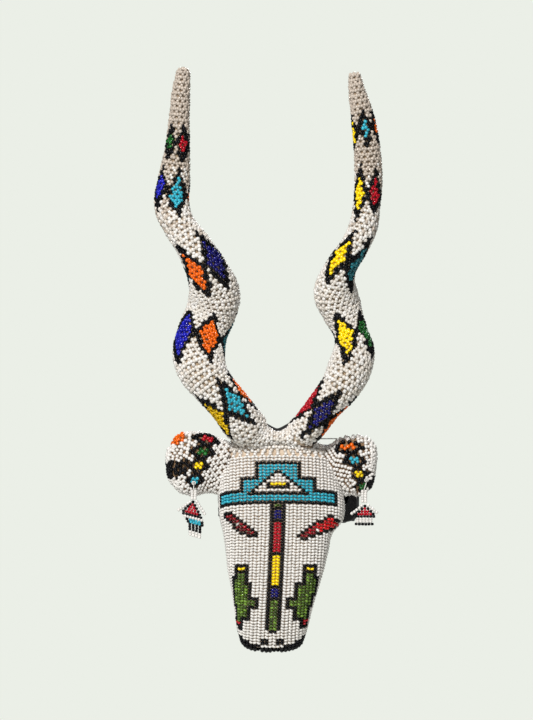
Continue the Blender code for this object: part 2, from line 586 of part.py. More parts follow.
for old in list(bpy.data.objects):
    bpy.data.objects.remove(old, do_unlink=True)
build_head()
build_horns()
build_yoke()
build_ears()
build_neck()
build_board()
build_hanger()
build_pendant("right", ANCHOR_RIGHT, KNOT_RIGHT, STRANDS_RIGHT, PANEL_RIGHT, ROWS_RIGHT)
build_pendant("left", ANCHOR_LEFT, KNOT_LEFT, STRANDS_LEFT, PANEL_LEFT, ROWS_LEFT)
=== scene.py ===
"""Looks of the beaded antelope head: glass beadwork, cloth, felt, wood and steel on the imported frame.

Shapes are worked out in millimetres measured from the centre of the face, as in the CAD model, and
moved into the row frame (metres) when a mesh is made. Every bead is its own closed shape, dimpled at
both ends of its hole.
"""

import math

import bpy
import numpy as np
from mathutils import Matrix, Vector
from mathutils.bvhtree import BVHTree


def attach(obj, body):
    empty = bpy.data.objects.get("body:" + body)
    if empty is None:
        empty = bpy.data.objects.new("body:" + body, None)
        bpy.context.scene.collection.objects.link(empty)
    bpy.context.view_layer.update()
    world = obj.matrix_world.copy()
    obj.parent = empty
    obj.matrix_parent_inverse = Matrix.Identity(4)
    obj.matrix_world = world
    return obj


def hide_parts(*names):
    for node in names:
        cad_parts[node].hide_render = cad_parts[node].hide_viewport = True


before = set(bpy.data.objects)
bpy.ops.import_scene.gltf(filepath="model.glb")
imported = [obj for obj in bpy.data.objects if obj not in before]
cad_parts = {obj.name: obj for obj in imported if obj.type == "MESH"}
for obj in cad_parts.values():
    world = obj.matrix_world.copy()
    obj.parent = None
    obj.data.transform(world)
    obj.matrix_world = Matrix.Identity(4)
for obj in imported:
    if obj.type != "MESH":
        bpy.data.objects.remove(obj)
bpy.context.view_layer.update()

MM = 0.001
FACE_CENTRE = np.array([8.0, 0.0, -10.5])    # row origin, measured from the face centre, mm
draws = np.random.RandomState(7)             # every small unevenness comes from this one sequence

BACKING = 2.2                                # depth of the cloth, which the beads are drawn down into
LARGE_RADIUS, LARGE_LENGTH = 1.57, 1.76      # beads on the face and jaw, mm
NET_RADIUS, NET_LENGTH = 1.42, 2.2           # beads in the netting
SMALL_RADIUS, SMALL_LENGTH = 1.14, 2.1       # beads on the pendants
BEAD_DEPTH = 1.45                            # how far the face's bead centres lie under the surface
NET_DEPTH = 1.25                             # the same for the netting
COLUMN = 2.9                                 # width of a column of face beads
FACE_ROWS = 64
BEAD_SCATTER = 0.06                          # spread of a bead's place about its proper one, mm
BEAD_TILT = 0.045                            # spread of its direction, radians
BEAD_SPREAD = (0.018, 0.05)                  # spread of its radius and length, as shares of them
NET_SLACK = (0.16, 0.16, 0.08)               # spread of a net bead's place round, along and inward, mm
SHADE_SHARES = (0.22, 0.56, 0.22)            # share of beads in each shade of a colour

# ---------------------------------------------------------------- shapes shared with the CAD model

# Head: stations run from the crown (0) to the snout along a bent spine, mm from the head's centre line.
SPINE_START = (0.0, -72.0, 12.0)
SPINE_LEAN = [(-10, 17), (35, 17), (80, 4), (125, -12), (142, -23), (155, -27)]
SPINE_DRIFT = [(-10, 0.3), (50, 0.3), (95, -1.6), (137, -3.9), (155, -4.2)]
HALF_WIDTH_LEFT = [(6, 41), (20, 44.5), (32, 45), (44, 44.5), (52, 43.4), (60, 41.2), (75, 38.4),
                   (90, 36), (105, 32.2), (120, 29.2), (132, 27), (142, 24.4)]
HALF_WIDTH_RIGHT = [(6, 41), (20, 45.5), (32, 49), (44, 50.4), (52, 48.6), (60, 42), (75, 38.9),
                    (90, 36), (105, 32.2), (120, 28.8), (132, 26.6), (142, 24.2)]
HALF_FRONT = [(6, 22), (20, 24), (45, 24), (60, 21), (84, 19), (118, 17), (142, 15)]
HALF_REAR = [(6, 21), (20, 26), (45, 27), (60, 24), (84, 22), (118, 20), (142, 17)]
CROWN_AT, CROWN_RISE = 6.0, 11.0
SNOUT_AT, SNOUT_DROP = 142.0, 5.5
FACE_TOP, FACE_END, FACE_EDGE = 8.0, 141.6, 112     # stations, and the angle where the face's beads end
JAW_TOP = 60.0
SQUARE, REAR_SQUARE = 2 / 2.6, 2 / 2.2      # powers that round the head's section, and its rear half

# Horns: (x, y, z, half width, half depth) from the base up, mm.
HORN_LEFT = [(-19.0, -86, 29, 14.6, 13.5), (-26.4, -92, 36.5, 15.6, 14), (-36.2, -98, 49.5, 15.2, 14),
             (-48.0, -103, 63.8, 15.8, 14.5), (-55.6, -101, 75, 18.2, 15), (-58.9, -95, 88, 19.7, 15.5),
             (-55.9, -89, 104.3, 18.8, 15.5), (-50.2, -89, 119, 18.9, 15), (-47.4, -95, 133, 19.2, 14.5),
             (-52.6, -103, 149.5, 16.0, 14), (-62.6, -106, 168, 13.4, 13), (-73.4, -102, 184, 12.2, 12.5),
             (-79.1, -96, 199, 13.2, 12), (-77.6, -93, 219, 12.1, 11), (-75.2, -94, 241, 9.6, 9.4),
             (-73.8, -96, 262, 8.0, 8), (-72.4, -96, 283, 7.0, 7), (-70.9, -95, 297.5, 5.6, 5.6)]
HORN_RIGHT = [(18.0, -86, 28, 12.6, 13), (25.4, -92, 36, 12.8, 13.5), (35.4, -98, 49, 13.0, 13.5),
              (46.6, -103, 63.2, 14.8, 14), (53.4, -101, 76, 16.4, 14.5), (57.2, -95, 90, 15.4, 14.5),
              (54.8, -89, 104.3, 12.8, 14), (48.6, -89, 120, 15.2, 14), (43.6, -95, 135, 16.4, 13.5),
              (47.2, -103, 151.5, 11.8, 13), (57.2, -106, 168, 10.6, 12), (64.0, -102, 183, 10.7, 11.5),
              (66.8, -96, 199, 10.2, 11), (68.2, -93, 221, 10.6, 10.5), (66.9, -94, 244, 10.0, 9.4),
              (63.6, -96, 266, 8.8, 8.2), (59.8, -96, 284, 6.6, 7), (57.9, -95, 295.5, 4.8, 5)]
YOKE = [(-19.0, -86, 29, 14.6, 13.5), (-11.0, -83.5, 25.5, 10.4, 13), (0.0, -83, 24.2, 5.6, 12.5),
        (10.5, -83.5, 25, 9.4, 12.5), (18.0, -86, 28, 12.6, 13)]
PAD = [(-19.0, -63.5, 35.5, 6.4, 5), (-10.0, -63, 28.8, 6.6, 5), (0.0, -63, 24.9, 6.6, 5),
       (10.0, -63, 28.8, 6.6, 5), (19.0, -63.5, 35.5, 6.4, 5)]
EAR_LEFT = [(-40.0, -80, 1.5, 20.5, 8.5), (-48.0, -81, 3.5, 21.5, 9.5), (-57.0, -82.5, 5, 24, 10.5),
            (-67.0, -84, 5, 24.5, 10), (-75.0, -85.5, 4, 21.5, 8.5), (-80.5, -86.5, 3.5, 14, 6)]
EAR_RIGHT = [(40.0, -80, -1.0, 19, 8.5), (47.0, -81, 1, 21, 9.5), (55.0, -82.5, 3.5, 23, 10.5),
             (62.0, -84, 3.5, 23.2, 10), (67.5, -85.5, 3, 21.4, 8.5), (70.8, -86.5, 2.6, 17.5, 6)]
EAR_TIP = 3.4


def table(points, at):
    """Smooth value read from (position, value...) points, level past both ends."""
    pos = [p[0] for p in points]
    if at <= pos[0] or at >= pos[-1]:
        return np.array(points[0 if at <= pos[0] else -1][1:], float)
    i = max(k for k in range(len(pos) - 1) if pos[k] <= at)
    t = (at - pos[i]) / (pos[i + 1] - pos[i])
    vals = [np.array(points[min(max(j, 0), len(points) - 1)][1:], float) for j in range(i - 1, i + 3)]
    gap = [max(pos[min(j + 1, len(pos) - 1)] - pos[max(j, 0)], 1e-6) for j in range(i - 1, i + 2)]
    step = pos[i + 1] - pos[i]
    slope = (vals[2] - vals[1]) / step
    before = (vals[1] - vals[0]) / gap[0] if i > 0 else slope
    after = (vals[3] - vals[2]) / gap[2] if i + 2 < len(pos) else slope
    m0 = 0.5 * (before + slope) * step
    m1 = 0.5 * (after + slope) * step
    return ((2 * t**3 - 3 * t**2 + 1) * vals[1] + (t**3 - 2 * t**2 + t) * m0
            + (-2 * t**3 + 3 * t**2) * vals[2] + (t**3 - t**2) * m1)


def run_along(points):
    """Distance along a line of points to each of them; the first three columns are x, y and z."""
    return np.concatenate([[0], np.cumsum(np.linalg.norm(np.diff(points[:, :3], axis=0), axis=1))])


def respaced(points, count):
    """The same line with count points evenly spaced along it."""
    run = run_along(points)
    return np.stack([np.interp(np.linspace(0, run[-1], count), run, column) for column in points.T], axis=1)


def along(points, step):
    """Samples of a smooth path through the points, one every step mm."""
    keyed = [(float(i), *p) for i, p in enumerate(points)]
    dense = np.array([table(keyed, t) for t in np.linspace(0, len(points) - 1, 16 * len(points))])
    return respaced(dense, int(round(run_along(dense)[-1] / step)) + 1)


def unit(vectors):
    """The vectors at length 1; the last axis holds x, y and z."""
    vectors = np.asarray(vectors, float)
    return vectors / np.maximum(np.linalg.norm(vectors, axis=-1, keepdims=True), 1e-9)


def spine(at):
    """Point and lean (radians) of the head's spine at a station."""
    step = math.copysign(0.5, at)
    x, y, z = SPINE_START
    whole = int(round(at / step))
    for k in range(whole):
        lean = math.radians(table(SPINE_LEAN, (k + 0.5) * step)[0])
        y -= math.sin(lean) * step
        z -= math.cos(lean) * step
    lean = math.radians(table(SPINE_LEAN, at)[0])
    y -= math.sin(lean) * (at - whole * step)
    z -= math.cos(lean) * (at - whole * step)
    return np.array([x + table(SPINE_DRIFT, at)[0], y, z]), lean


def full_turn(sides):
    """Angles of this many even steps, in degrees."""
    return 360 * np.arange(sides) / sides


def head_ring(at, turns, inset=0.0, shrink=1.0):
    """One ring of the head at a station; turns are angles in degrees, 0 at the front."""
    centre, lean = spine(at)
    front = np.array([0, -math.cos(lean), math.sin(lean)])
    body = min(max(at, CROWN_AT), SNOUT_AT)
    left, right, fore, rear = ((table(t, body)[0] - inset) * shrink for t in
                               (HALF_WIDTH_LEFT, HALF_WIDTH_RIGHT, HALF_FRONT, HALF_REAR))
    s, c = np.sin(np.radians(turns)), np.cos(np.radians(turns))
    wide = np.where(s >= 0, right, left) * np.sign(s) * np.abs(s) ** SQUARE
    deep = np.where(c >= 0, fore, rear) * np.sign(c) * np.abs(c) ** np.where(c >= 0, SQUARE, REAR_SQUARE)
    return centre + wide[:, None] * np.array([1.0, 0, 0]) + deep[:, None] * front


def sweep(points, inset=0.0, tip=None, step=1.0, sides=96, start=90):
    """Rings square to a swept path, from the angle start (90 is the rear), with a round tip if asked."""
    samples = along(points, step)
    centres = samples[:, :3]
    tangents = unit(np.gradient(centres, axis=0))
    across = unit(np.cross(tangents, (0, 1, 0)))
    deep = np.cross(across, tangents)
    half = samples[:, 3:5] - inset
    turns = np.radians(start + full_turn(sides))
    flat = across[:, None] * np.cos(turns)[:, None] * half[:, None, :1]
    rings = centres[:, None] + flat + deep[:, None] * np.sin(turns)[:, None] * half[:, None, 1:]
    if tip is not None:
        rise = np.radians(np.arange(8, 89, 8))[:, None, None]
        cap = centres[-1] + (rings[-1] - centres[-1]) * np.cos(rise)
        rings = np.concatenate([rings, cap + tangents[-1] * (tip - inset) * np.sin(rise)])
    return rings


class Skin:
    """A smooth surface through rings, read by distance along it (run, mm) and share round it (turn)."""

    def __init__(self, rings, count=120):
        loops = [np.concatenate([ring, ring[:1]]) for ring in rings]
        self.points = np.array([respaced(loop, count + 1) for loop in loops])
        self.girths = np.array([run_along(loop)[-1] for loop in loops])
        gaps = np.linalg.norm(np.diff(self.points[:, :-1], axis=0), axis=2).mean(axis=1)
        self.runs = np.concatenate([[0], np.cumsum(gaps)])
        self.length = self.runs[-1]
        self.count = count
        wrapped = np.concatenate([self.points[:, -2:-1], self.points, self.points[:, 1:2]], axis=1)
        self.rounds = unit(wrapped[:, 2:] - wrapped[:, :-2])
        self.alongs = unit(np.gradient(self.points, self.runs, axis=0))
        normals = unit(np.cross(self.rounds, self.alongs))
        middle = self.points[:, :-1].mean(axis=1)[:, None]
        outward = np.sign(np.sum((self.points - middle) * normals, axis=2).mean())
        self.normals = normals * outward

    def girth(self, run):
        """Length round the surface at a run."""
        return np.interp(run, self.runs, self.girths)

    def read(self, grid, run, turn):
        """Values of a grid over the surface's points, blended between its rows and columns."""
        row = np.interp(run, self.runs, np.arange(len(self.runs)))
        col = np.mod(turn, 1.0) * self.count
        r = np.clip(np.floor(row).astype(int), 0, len(self.runs) - 2)
        c = np.clip(np.floor(col).astype(int), 0, self.count - 1)
        fr = (row - r)[:, None]
        fc = (col - c)[:, None]
        top = grid[r, c] * (1 - fc) + grid[r, c + 1] * fc
        low = grid[r + 1, c] * (1 - fc) + grid[r + 1, c + 1] * fc
        return top * (1 - fr) + low * fr

    def at(self, run, turn):
        """Points, outward normals, directions round and along, for arrays of run and turn."""
        run, turn = np.atleast_1d(run).astype(float), np.atleast_1d(turn).astype(float)
        ways = [unit(self.read(grid, run, turn)) for grid in (self.normals, self.rounds, self.alongs)]
        return self.read(self.points, run, turn), *ways


# ---------------------------------------------------------------- materials

# Bead colours: linear RGB, and the brightness of each colour's three shades.
GLASS = {
    "white": ((0.76, 0.725, 0.685), (0.93, 1.0, 1.04)),
    "ivory": ((0.68, 0.625, 0.56), (0.92, 1.0, 1.06)),
    # Darker beads used as painted shade, where the light falls off towards the horn tips.
    "cream": ((0.50, 0.425, 0.355), (0.90, 1.0, 1.10)),
    "black": ((0.004, 0.004, 0.005), (0.6, 1.0, 1.9)),
    "turquoise": ((0.03, 0.38, 0.49), (0.82, 1.0, 1.12)),
    "dark_blue": ((0.004, 0.003, 0.115), (0.75, 1.0, 1.4)),
    "red": ((0.43, 0.002, 0.013), (0.72, 1.0, 1.1)),
    "bright_red": ((0.66, 0.004, 0.008), (0.7, 1.0, 1.1)),
    "crimson": ((0.25, 0.003, 0.010), (0.7, 1.0, 1.5)),
    "dark_red": ((0.095, 0.002, 0.005), (0.75, 1.0, 1.35)),
    "yellow": ((0.95, 0.68, 0.0), (0.88, 1.0, 1.03)),
    "orange": ((0.80, 0.128, 0.0), (0.8, 1.0, 1.08)),
    "blue": ((0.008, 0.010, 0.36), (0.7, 1.0, 1.3)),
    "olive": ((0.083, 0.150, 0.015), (0.4, 0.85, 1.8)),
    "dark_green": ((0.007, 0.10, 0.013), (0.6, 1.0, 1.5)),
    "gold": ((0.78, 0.50, 0.0), (0.85, 1.0, 1.1)),
    "dark_teal": ((0.013, 0.155, 0.19), (0.8, 1.0, 1.3)),
    "grey": ((0.42, 0.40, 0.37), (0.85, 1.0, 1.15)),
}


def start_material(name):
    """A new node material, with its node tree and its Principled BSDF."""
    mat = bpy.data.materials.new(name)
    mat.use_nodes = True
    return mat, mat.node_tree, mat.node_tree.nodes["Principled BSDF"]


def set_inputs(tree, node, inputs):
    """Gives each named or numbered input of a node its value, or a link if that is another node's output."""
    for key, value in inputs.items():
        if isinstance(value, bpy.types.NodeSocket):
            tree.links.new(value, node.inputs[key])
        else:
            node.inputs[key].default_value = value


def add_node(tree, kind, inputs):
    """A new node with its inputs set."""
    node = tree.nodes.new(kind)
    set_inputs(tree, node, inputs)
    return node


def add_math(tree, operation, *values):
    """The result of an operation on values, which are numbers or other nodes' outputs."""
    node = add_node(tree, "ShaderNodeMath", dict(enumerate(values)))
    node.operation = operation
    return node.outputs[0]


def object_place(tree):
    """A point's place in its object, in metres."""
    return add_node(tree, "ShaderNodeTexCoord", {}).outputs["Object"]


def add_noise(tree, scale, detail, stretch=None):
    """Noise over the object's coordinates, scaled along each axis if stretch is given."""
    place = object_place(tree)
    if stretch is not None:
        place = add_node(tree, "ShaderNodeMapping", {"Vector": place, "Scale": stretch}).outputs["Vector"]
    noise = add_node(tree, "ShaderNodeTexNoise", {"Vector": place, "Scale": scale, "Detail": detail})
    return noise.outputs["Fac"]


def add_ramp(tree, source, stops):
    """The source as a colour, through (position, rgb) stops."""
    ramp = add_node(tree, "ShaderNodeValToRGB", {"Fac": source})
    elements = ramp.color_ramp.elements
    while len(elements) < len(stops):
        elements.new(0.5)
    for element, (at, rgb) in zip(elements, stops):
        element.position = at
        element.color = (*rgb, 1)
    return ramp.outputs["Color"]


def add_range(tree, source, low, high):
    """The source's 0.3 to 0.7 spread over low to high."""
    ends = {"From Min": 0.3, "From Max": 0.7, "To Min": low, "To Max": high}
    return add_node(tree, "ShaderNodeMapRange", {"Value": source, **ends}).outputs[0]


def add_bump(tree, height, strength, distance):
    """A normal raised by the height, at most by the distance in metres."""
    bump = add_node(tree, "ShaderNodeBump", {"Height": height, "Strength": strength, "Distance": distance})
    return bump.outputs["Normal"]


def glass_materials(name):
    """Three shades of one bead colour; rubbed and clean patches differ in gloss."""
    rgb, shades = GLASS[name]
    made = []
    for number, shade in enumerate(shades):
        mat, tree, bsdf = start_material(f"glass_{name}_{number}")
        set_inputs(tree, bsdf, {
            "Base Color": (*(min(1.0, c * shade) for c in rgb), 1),
            "Roughness": add_range(tree, add_noise(tree, 90.0, 3.0), 0.16, 0.36),
            "IOR": 1.5,
            "Specular IOR Level": 0.14 if name == "black" else 0.36,
            "Coat Weight": 0.0 if name == "black" else 0.12,
            "Coat Roughness": 0.08})
        made.append(mat)
    return made


def cloth_material(name, dark, light, weave=2600.0, roughness=(0.8, 0.97), sheen=0.25, depth=0.00015):
    """Woven or felted cloth: two crossed sets of threads, patchy colour and a little sheen."""
    mat, tree, bsdf = start_material(name)
    patches = add_noise(tree, 70.0, 6.0)
    blend = add_math(tree, "MULTIPLY_ADD", add_noise(tree, 900.0, 3.0), 0.5,
                     add_math(tree, "MULTIPLY", patches, 0.5))
    bands = []
    for axis in ("X", "Z"):
        wave = add_node(tree, "ShaderNodeTexWave", {"Vector": object_place(tree), "Distortion": 1.2,
                                                    "Scale": weave / (2 * math.pi)})
        wave.bands_direction = axis
        bands.append(wave.outputs["Fac"])
    set_inputs(tree, bsdf, {
        "Base Color": add_ramp(tree, blend, [(0.35, dark), (0.65, light)]),
        "Roughness": add_range(tree, patches, *roughness),
        "Normal": add_bump(tree, add_math(tree, "ADD", *bands), 0.6, depth),
        "Sheen Weight": sheen})
    return mat


def wood_material():
    """Pale board with grain along X."""
    mat, tree, bsdf = start_material("board_wood")
    grain = add_noise(tree, 60.0, 8.0, (0.25, 1.4, 3.2))
    pores = add_noise(tree, 500.0, 2.0, (0.08, 1.0, 1.0))
    browns = [(0.30, (0.20, 0.105, 0.045)), (0.52, (0.40, 0.24, 0.115)), (0.72, (0.52, 0.34, 0.18))]
    set_inputs(tree, bsdf, {
        "Base Color": add_ramp(tree, grain, browns),
        "Roughness": add_range(tree, pores, 0.5, 0.78),
        "Normal": add_bump(tree, pores, 0.35, 0.0003)})
    return mat


def steel_material(name, rgb, low, high):
    """Drawn or stamped steel, scratched along its length."""
    mat, tree, bsdf = start_material(name)
    greys = [(0.35, tuple(0.72 * c for c in rgb)), (0.6, rgb)]
    set_inputs(tree, bsdf, {
        "Base Color": add_ramp(tree, add_noise(tree, 120.0, 4.0), greys),
        "Roughness": add_range(tree, add_noise(tree, 700.0, 4.0, (0.15, 1.0, 1.0)), low, high),
        "Metallic": 1.0})
    return mat


glass = {name: glass_materials(name) for name in GLASS}
net_cloth = cloth_material("brown_backing", (0.25, 0.175, 0.10), (0.48, 0.36, 0.235))
ear_cloth = cloth_material("dark_brown_backing", (0.13, 0.07, 0.03), (0.30, 0.18, 0.09))
face_cloth = cloth_material("tan_backing", (0.46, 0.34, 0.235), (0.71, 0.57, 0.43))
black_cloth = cloth_material("black_sleeve", (0.003, 0.003, 0.004), (0.011, 0.009, 0.012), 2200.0, sheen=0.05)
felt = cloth_material("black_felt", (0.004, 0.004, 0.004), (0.013, 0.012, 0.012), 5200.0, sheen=0.05)
stuffing = cloth_material("stuffing", (0.50, 0.45, 0.36), (0.72, 0.67, 0.57), 900.0, depth=0.0006)
thread = cloth_material("cotton_thread", (0.62, 0.60, 0.55), (0.85, 0.83, 0.78), 9000.0, depth=0.00005)
dark_thread = cloth_material("dark_thread", (0.02, 0.02, 0.02), (0.06, 0.055, 0.05), 9000.0, depth=0.00005)


# ---------------------------------------------------------------- making pieces


def link(ob):
    """The object, put in the scene."""
    bpy.context.scene.collection.objects.link(ob)
    return ob


def to_row(points):
    """Face-centre millimetres to row-frame metres."""
    return (np.asarray(points, float) - FACE_CENTRE) * MM


def add_piece(name, verts, faces, materials, replaced, body="trophy", shades=None):
    """One smooth mesh object, in face-centre mm, riding on a body."""
    mesh = bpy.data.meshes.new(name)
    mesh.from_pydata(to_row(verts).tolist(), [], faces)
    for mat in materials:
        mesh.materials.append(mat)
    if shades is not None:
        mesh.polygons.foreach_set("material_index", shades)
    mesh.polygons.foreach_set("use_smooth", np.ones(len(mesh.polygons), bool))
    mesh.update()
    ob = link(bpy.data.objects.new(name, mesh))
    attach(ob, body)
    if replaced:
        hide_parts(*replaced)
    return ob


# A bead's outline: rings as (share of its radius, place along its length), from hole to hole.
BEAD_SIDES = 8
BEAD_RINGS = ((0.36, -0.42), (0.64, -0.50), (0.89, -0.37), (1.0, -0.13),
              (1.0, 0.13), (0.89, 0.37), (0.64, 0.50), (0.36, 0.42))
BEADS_PER_PIECE = 1500


def tube_faces(rows, sides):
    """Faces through equal rings, with a polygon over either end."""
    faces = [(r * sides + s, r * sides + (s + 1) % sides, (r + 1) * sides + (s + 1) % sides,
              (r + 1) * sides + s) for r in range(rows - 1) for s in range(sides)]
    return faces + [tuple(reversed(range(sides))), tuple((rows - 1) * sides + s for s in range(sides))]


def bead_faces(count):
    """Faces of a number of beads, one bead after another."""
    one = tube_faces(len(BEAD_RINGS), BEAD_SIDES)
    verts = len(BEAD_RINGS) * BEAD_SIDES
    return [tuple(bead * verts + v for v in face) for bead in range(count) for face in one]


class Beads:
    """The beads of one part, gathered by colour and then made into one piece for each colour."""

    def __init__(self, part, body="trophy"):
        self.part = part
        self.body = body
        self.names = []
        self.rows = []

    def add(self, colours, centres, axes, outs, radius, length):
        """Beads at their centres; each axis runs through the hole and outs point away from the part."""
        centres = np.atleast_2d(centres).astype(float)
        count = len(centres)
        self.names += [colours] * count if isinstance(colours, str) else list(colours)
        shape = np.stack([np.broadcast_to(radius, count), np.broadcast_to(length, count)], axis=1)
        self.rows.append(np.hstack([centres, np.broadcast_to(axes, (count, 3)),
                                    np.broadcast_to(outs, (count, 3)), shape]))

    def build(self, replaced):
        """Makes the pieces; they stand for the CAD nodes named in replaced."""
        rows = np.concatenate(self.rows)
        for colour in sorted(set(self.names)):
            mine = rows[np.array(self.names) == colour]
            parts = np.array_split(mine, math.ceil(len(mine) / BEADS_PER_PIECE))
            for number, part in enumerate(parts):
                verts = bead_verts(part)
                faces = bead_faces(len(part))
                shades = np.repeat(draws.choice(3, len(part), p=SHADE_SHARES), len(faces) // len(part))
                name = f"{self.part}_{colour}" + (f"_{number + 1}" if len(parts) > 1 else "")
                add_piece(name, verts, faces, glass[colour], replaced, self.body, shades)


def bead_verts(rows):
    """Vertices of these beads, each a little out of true as hand-sewn beads are."""
    count = len(rows)
    centres = rows[:, :3] + draws.normal(0, BEAD_SCATTER, (count, 3))
    axes = unit(unit(rows[:, 3:6]) + draws.normal(0, BEAD_TILT, (count, 3)))
    outs = unit(rows[:, 6:9] - np.sum(rows[:, 6:9] * axes, axis=1, keepdims=True) * axes)
    sides = np.cross(axes, outs)
    radius = rows[:, 9] * (1 + draws.normal(0, BEAD_SPREAD[0], count))
    length = rows[:, 10] * (1 + draws.normal(0, BEAD_SPREAD[1], count))
    turns = 2 * np.pi * np.arange(BEAD_SIDES) / BEAD_SIDES
    spokes = outs[:, None] * np.cos(turns)[:, None] + sides[:, None] * np.sin(turns)[:, None]
    rings = [centres[:, None] + axes[:, None] * (rise * length)[:, None, None]
             + spokes * (share * radius)[:, None, None] for share, rise in BEAD_RINGS]
    return np.stack(rings, axis=1).reshape(-1, 3)


def outward(verts, faces):
    """The faces, turned over if together they enclose a negative volume."""
    volume = 0.0
    for f in faces:
        for a, b in zip(f[1:-1], f[2:]):
            volume += np.dot(verts[f[0]], np.cross(verts[a], verts[b]))
    return faces if volume > 0 else [tuple(reversed(f)) for f in faces]


def lofted(name, rings, material, replaced):
    """A closed smooth piece through equal rings, fixed to the trophy."""
    verts = np.concatenate(rings)
    faces = outward(verts - verts.mean(axis=0), tube_faces(len(rings), len(rings[0])))
    return add_piece(name, verts, faces, [material], replaced)


# ---------------------------------------------------------------- head surface

# How far round its quarter turn each ring of the crown's and the snout's rounded ends lies.
CAP_SHARES = (0.04, 0.1, 0.2, 0.3, 0.4, 0.5, 0.6, 0.7, 0.8, 0.88, 0.94, 0.98)


def head_rings(inset=0.0, sides=144, step=2.0):
    """Rings of the head from crown to snout, and a mark for each.

    A ring's mark is its station; on a rounded end it is the last full ring's station and a share past it.
    """
    turns = full_turn(sides)
    rings, marks = [], []
    for share in reversed(CAP_SHARES):
        rise = (CROWN_RISE - inset) * math.sin(share * math.pi / 2)
        rings.append(head_ring(CROWN_AT - rise, turns, inset, math.cos(share * math.pi / 2)))
        marks.append(CROWN_AT - share)
    for at in np.linspace(CROWN_AT, SNOUT_AT, int(round((SNOUT_AT - CROWN_AT) / step)) + 1):
        rings.append(head_ring(at, turns, inset))
        marks.append(at)
    for share in CAP_SHARES:
        drop = (SNOUT_DROP - inset) * math.sin(share * math.pi / 2) ** 0.8
        rings.append(head_ring(SNOUT_AT + drop, turns, inset, math.cos(share * math.pi / 2) ** 0.7))
        marks.append(SNOUT_AT + share)
    return rings, marks


bead_rings, head_marks = head_rings(BEAD_DEPTH)
head = Skin(bead_rings, 240)


def head_run(mark):
    """Distance along the head's surface at a ring's mark."""
    return np.interp(mark, head_marks, head.runs)


def arc_to(at, angle):
    """Distance round the head from the front centre line to an angle, at a station."""
    return float(run_along(head_ring(at, np.linspace(0, angle, 90), BEAD_DEPTH))[-1])


# The snout's flat, square-edged end: (drop below the last full ring in mm, share of its width).
SNOUT_PROFILE = [(0.0, 1.0), (1.6, 0.98), (3.2, 0.94), (4.6, 0.86), (5.5, 0.74), (5.9, 0.55), (6.0, 0.3),
                 (6.05, 0.06)]


def snout_rings(inset, sides=96):
    """Rings of the snout's end."""
    return [head_ring(SNOUT_AT + drop - min(drop, inset) * 0.4, full_turn(sides), inset, shrink)
            for drop, shrink in SNOUT_PROFILE]


def face_stations():
    """Stations of the face's bead rows, evenly spaced in height on the front centre line."""
    tries = np.linspace(FACE_TOP, FACE_END, 160)
    heights = np.array([head_ring(at, np.array([0.0]), BEAD_DEPTH)[0, 2] for at in tries])
    want = np.linspace(heights[0], heights[-1], FACE_ROWS)
    return np.interp(-want, -heights, tries)


# ---------------------------------------------------------------- face chart

# Spans are (first row, last row, first column, last column); column 0 starts at the centre line.
TIERS = [(2, 15, -6, 5), (7, 15, -10, 9), (11, 15, -17, 15)]
EYE_LEFT = [(18, 19, -15, -15), (18, 20, -14, -14), (18, 21, -13, -13), (19, 23, -12, -12),
            (20, 24, -11, -11), (21, 25, -10, -10), (22, 25, -9, -9), (23, 26, -8, -8), (24, 26, -7, -7),
            (25, 26, -6, -6)]
EYE_RIGHT = [(26, 26, 5, 5), (25, 27, 6, 6), (24, 27, 7, 7), (23, 26, 8, 8), (22, 26, 9, 9), (21, 25, 10, 10),
             (21, 25, 11, 11), (20, 24, 12, 12), (19, 24, 13, 13), (19, 23, 14, 14), (20, 23, 15, 15),
             (20, 22, 16, 16), (20, 22, 17, 17), (21, 21, 18, 18)]
CACTUS_LEFT = [(36, 39, -11, -8), (40, 41, -12, -8), (42, 46, -12, -7), (47, 50, -12, -5), (51, 54, -11, -7),
               (55, 57, -12, -9), (58, 58, -10, -9)]
CACTUS_RIGHT = [(36, 39, 7, 10), (40, 41, 7, 11), (42, 46, 5, 11), (47, 50, 3, 10), (51, 54, 5, 9),
                (55, 57, 7, 9)]
STRIP = [(16, 16, "olive"), (17, 17, "black"), (18, 20, "dark_blue"), (21, 21, "black"), (22, 31, "red"),
         (32, 32, "black"), (33, 42, "yellow"), (43, 43, "black"), (44, 46, "dark_blue"), (47, 47, "black"),
         (48, 57, "olive")]
# Black edge of the snout: (row, first black column counted from the middle).
SNOUT_EDGE = [(57, 13), (58, 12), (59, 11), (60, 10), (61, 8), (62, 6), (63, 3)]


def cells(spans):
    """The (column, row) of every bead in the spans."""
    return {(c, r) for low, high, first, last in spans for r in range(low, high + 1)
            for c in range(first, last + 1)}


def fill(chart, spans, colour):
    """Fills the spans with a colour."""
    chart.update(dict.fromkeys(cells(spans), colour))


def outlined(chart, spans, colour, corners=True):
    """Fills the spans with a colour inside a border one bead wide."""
    shape = cells(spans)
    beside = [(i, j) for i in (-1, 0, 1) for j in (-1, 0, 1) if (corners or i * j == 0)]
    for c, r in shape:
        edge = any((c + i, r + j) not in shape for i, j in beside)
        chart[c, r] = "black" if edge else colour


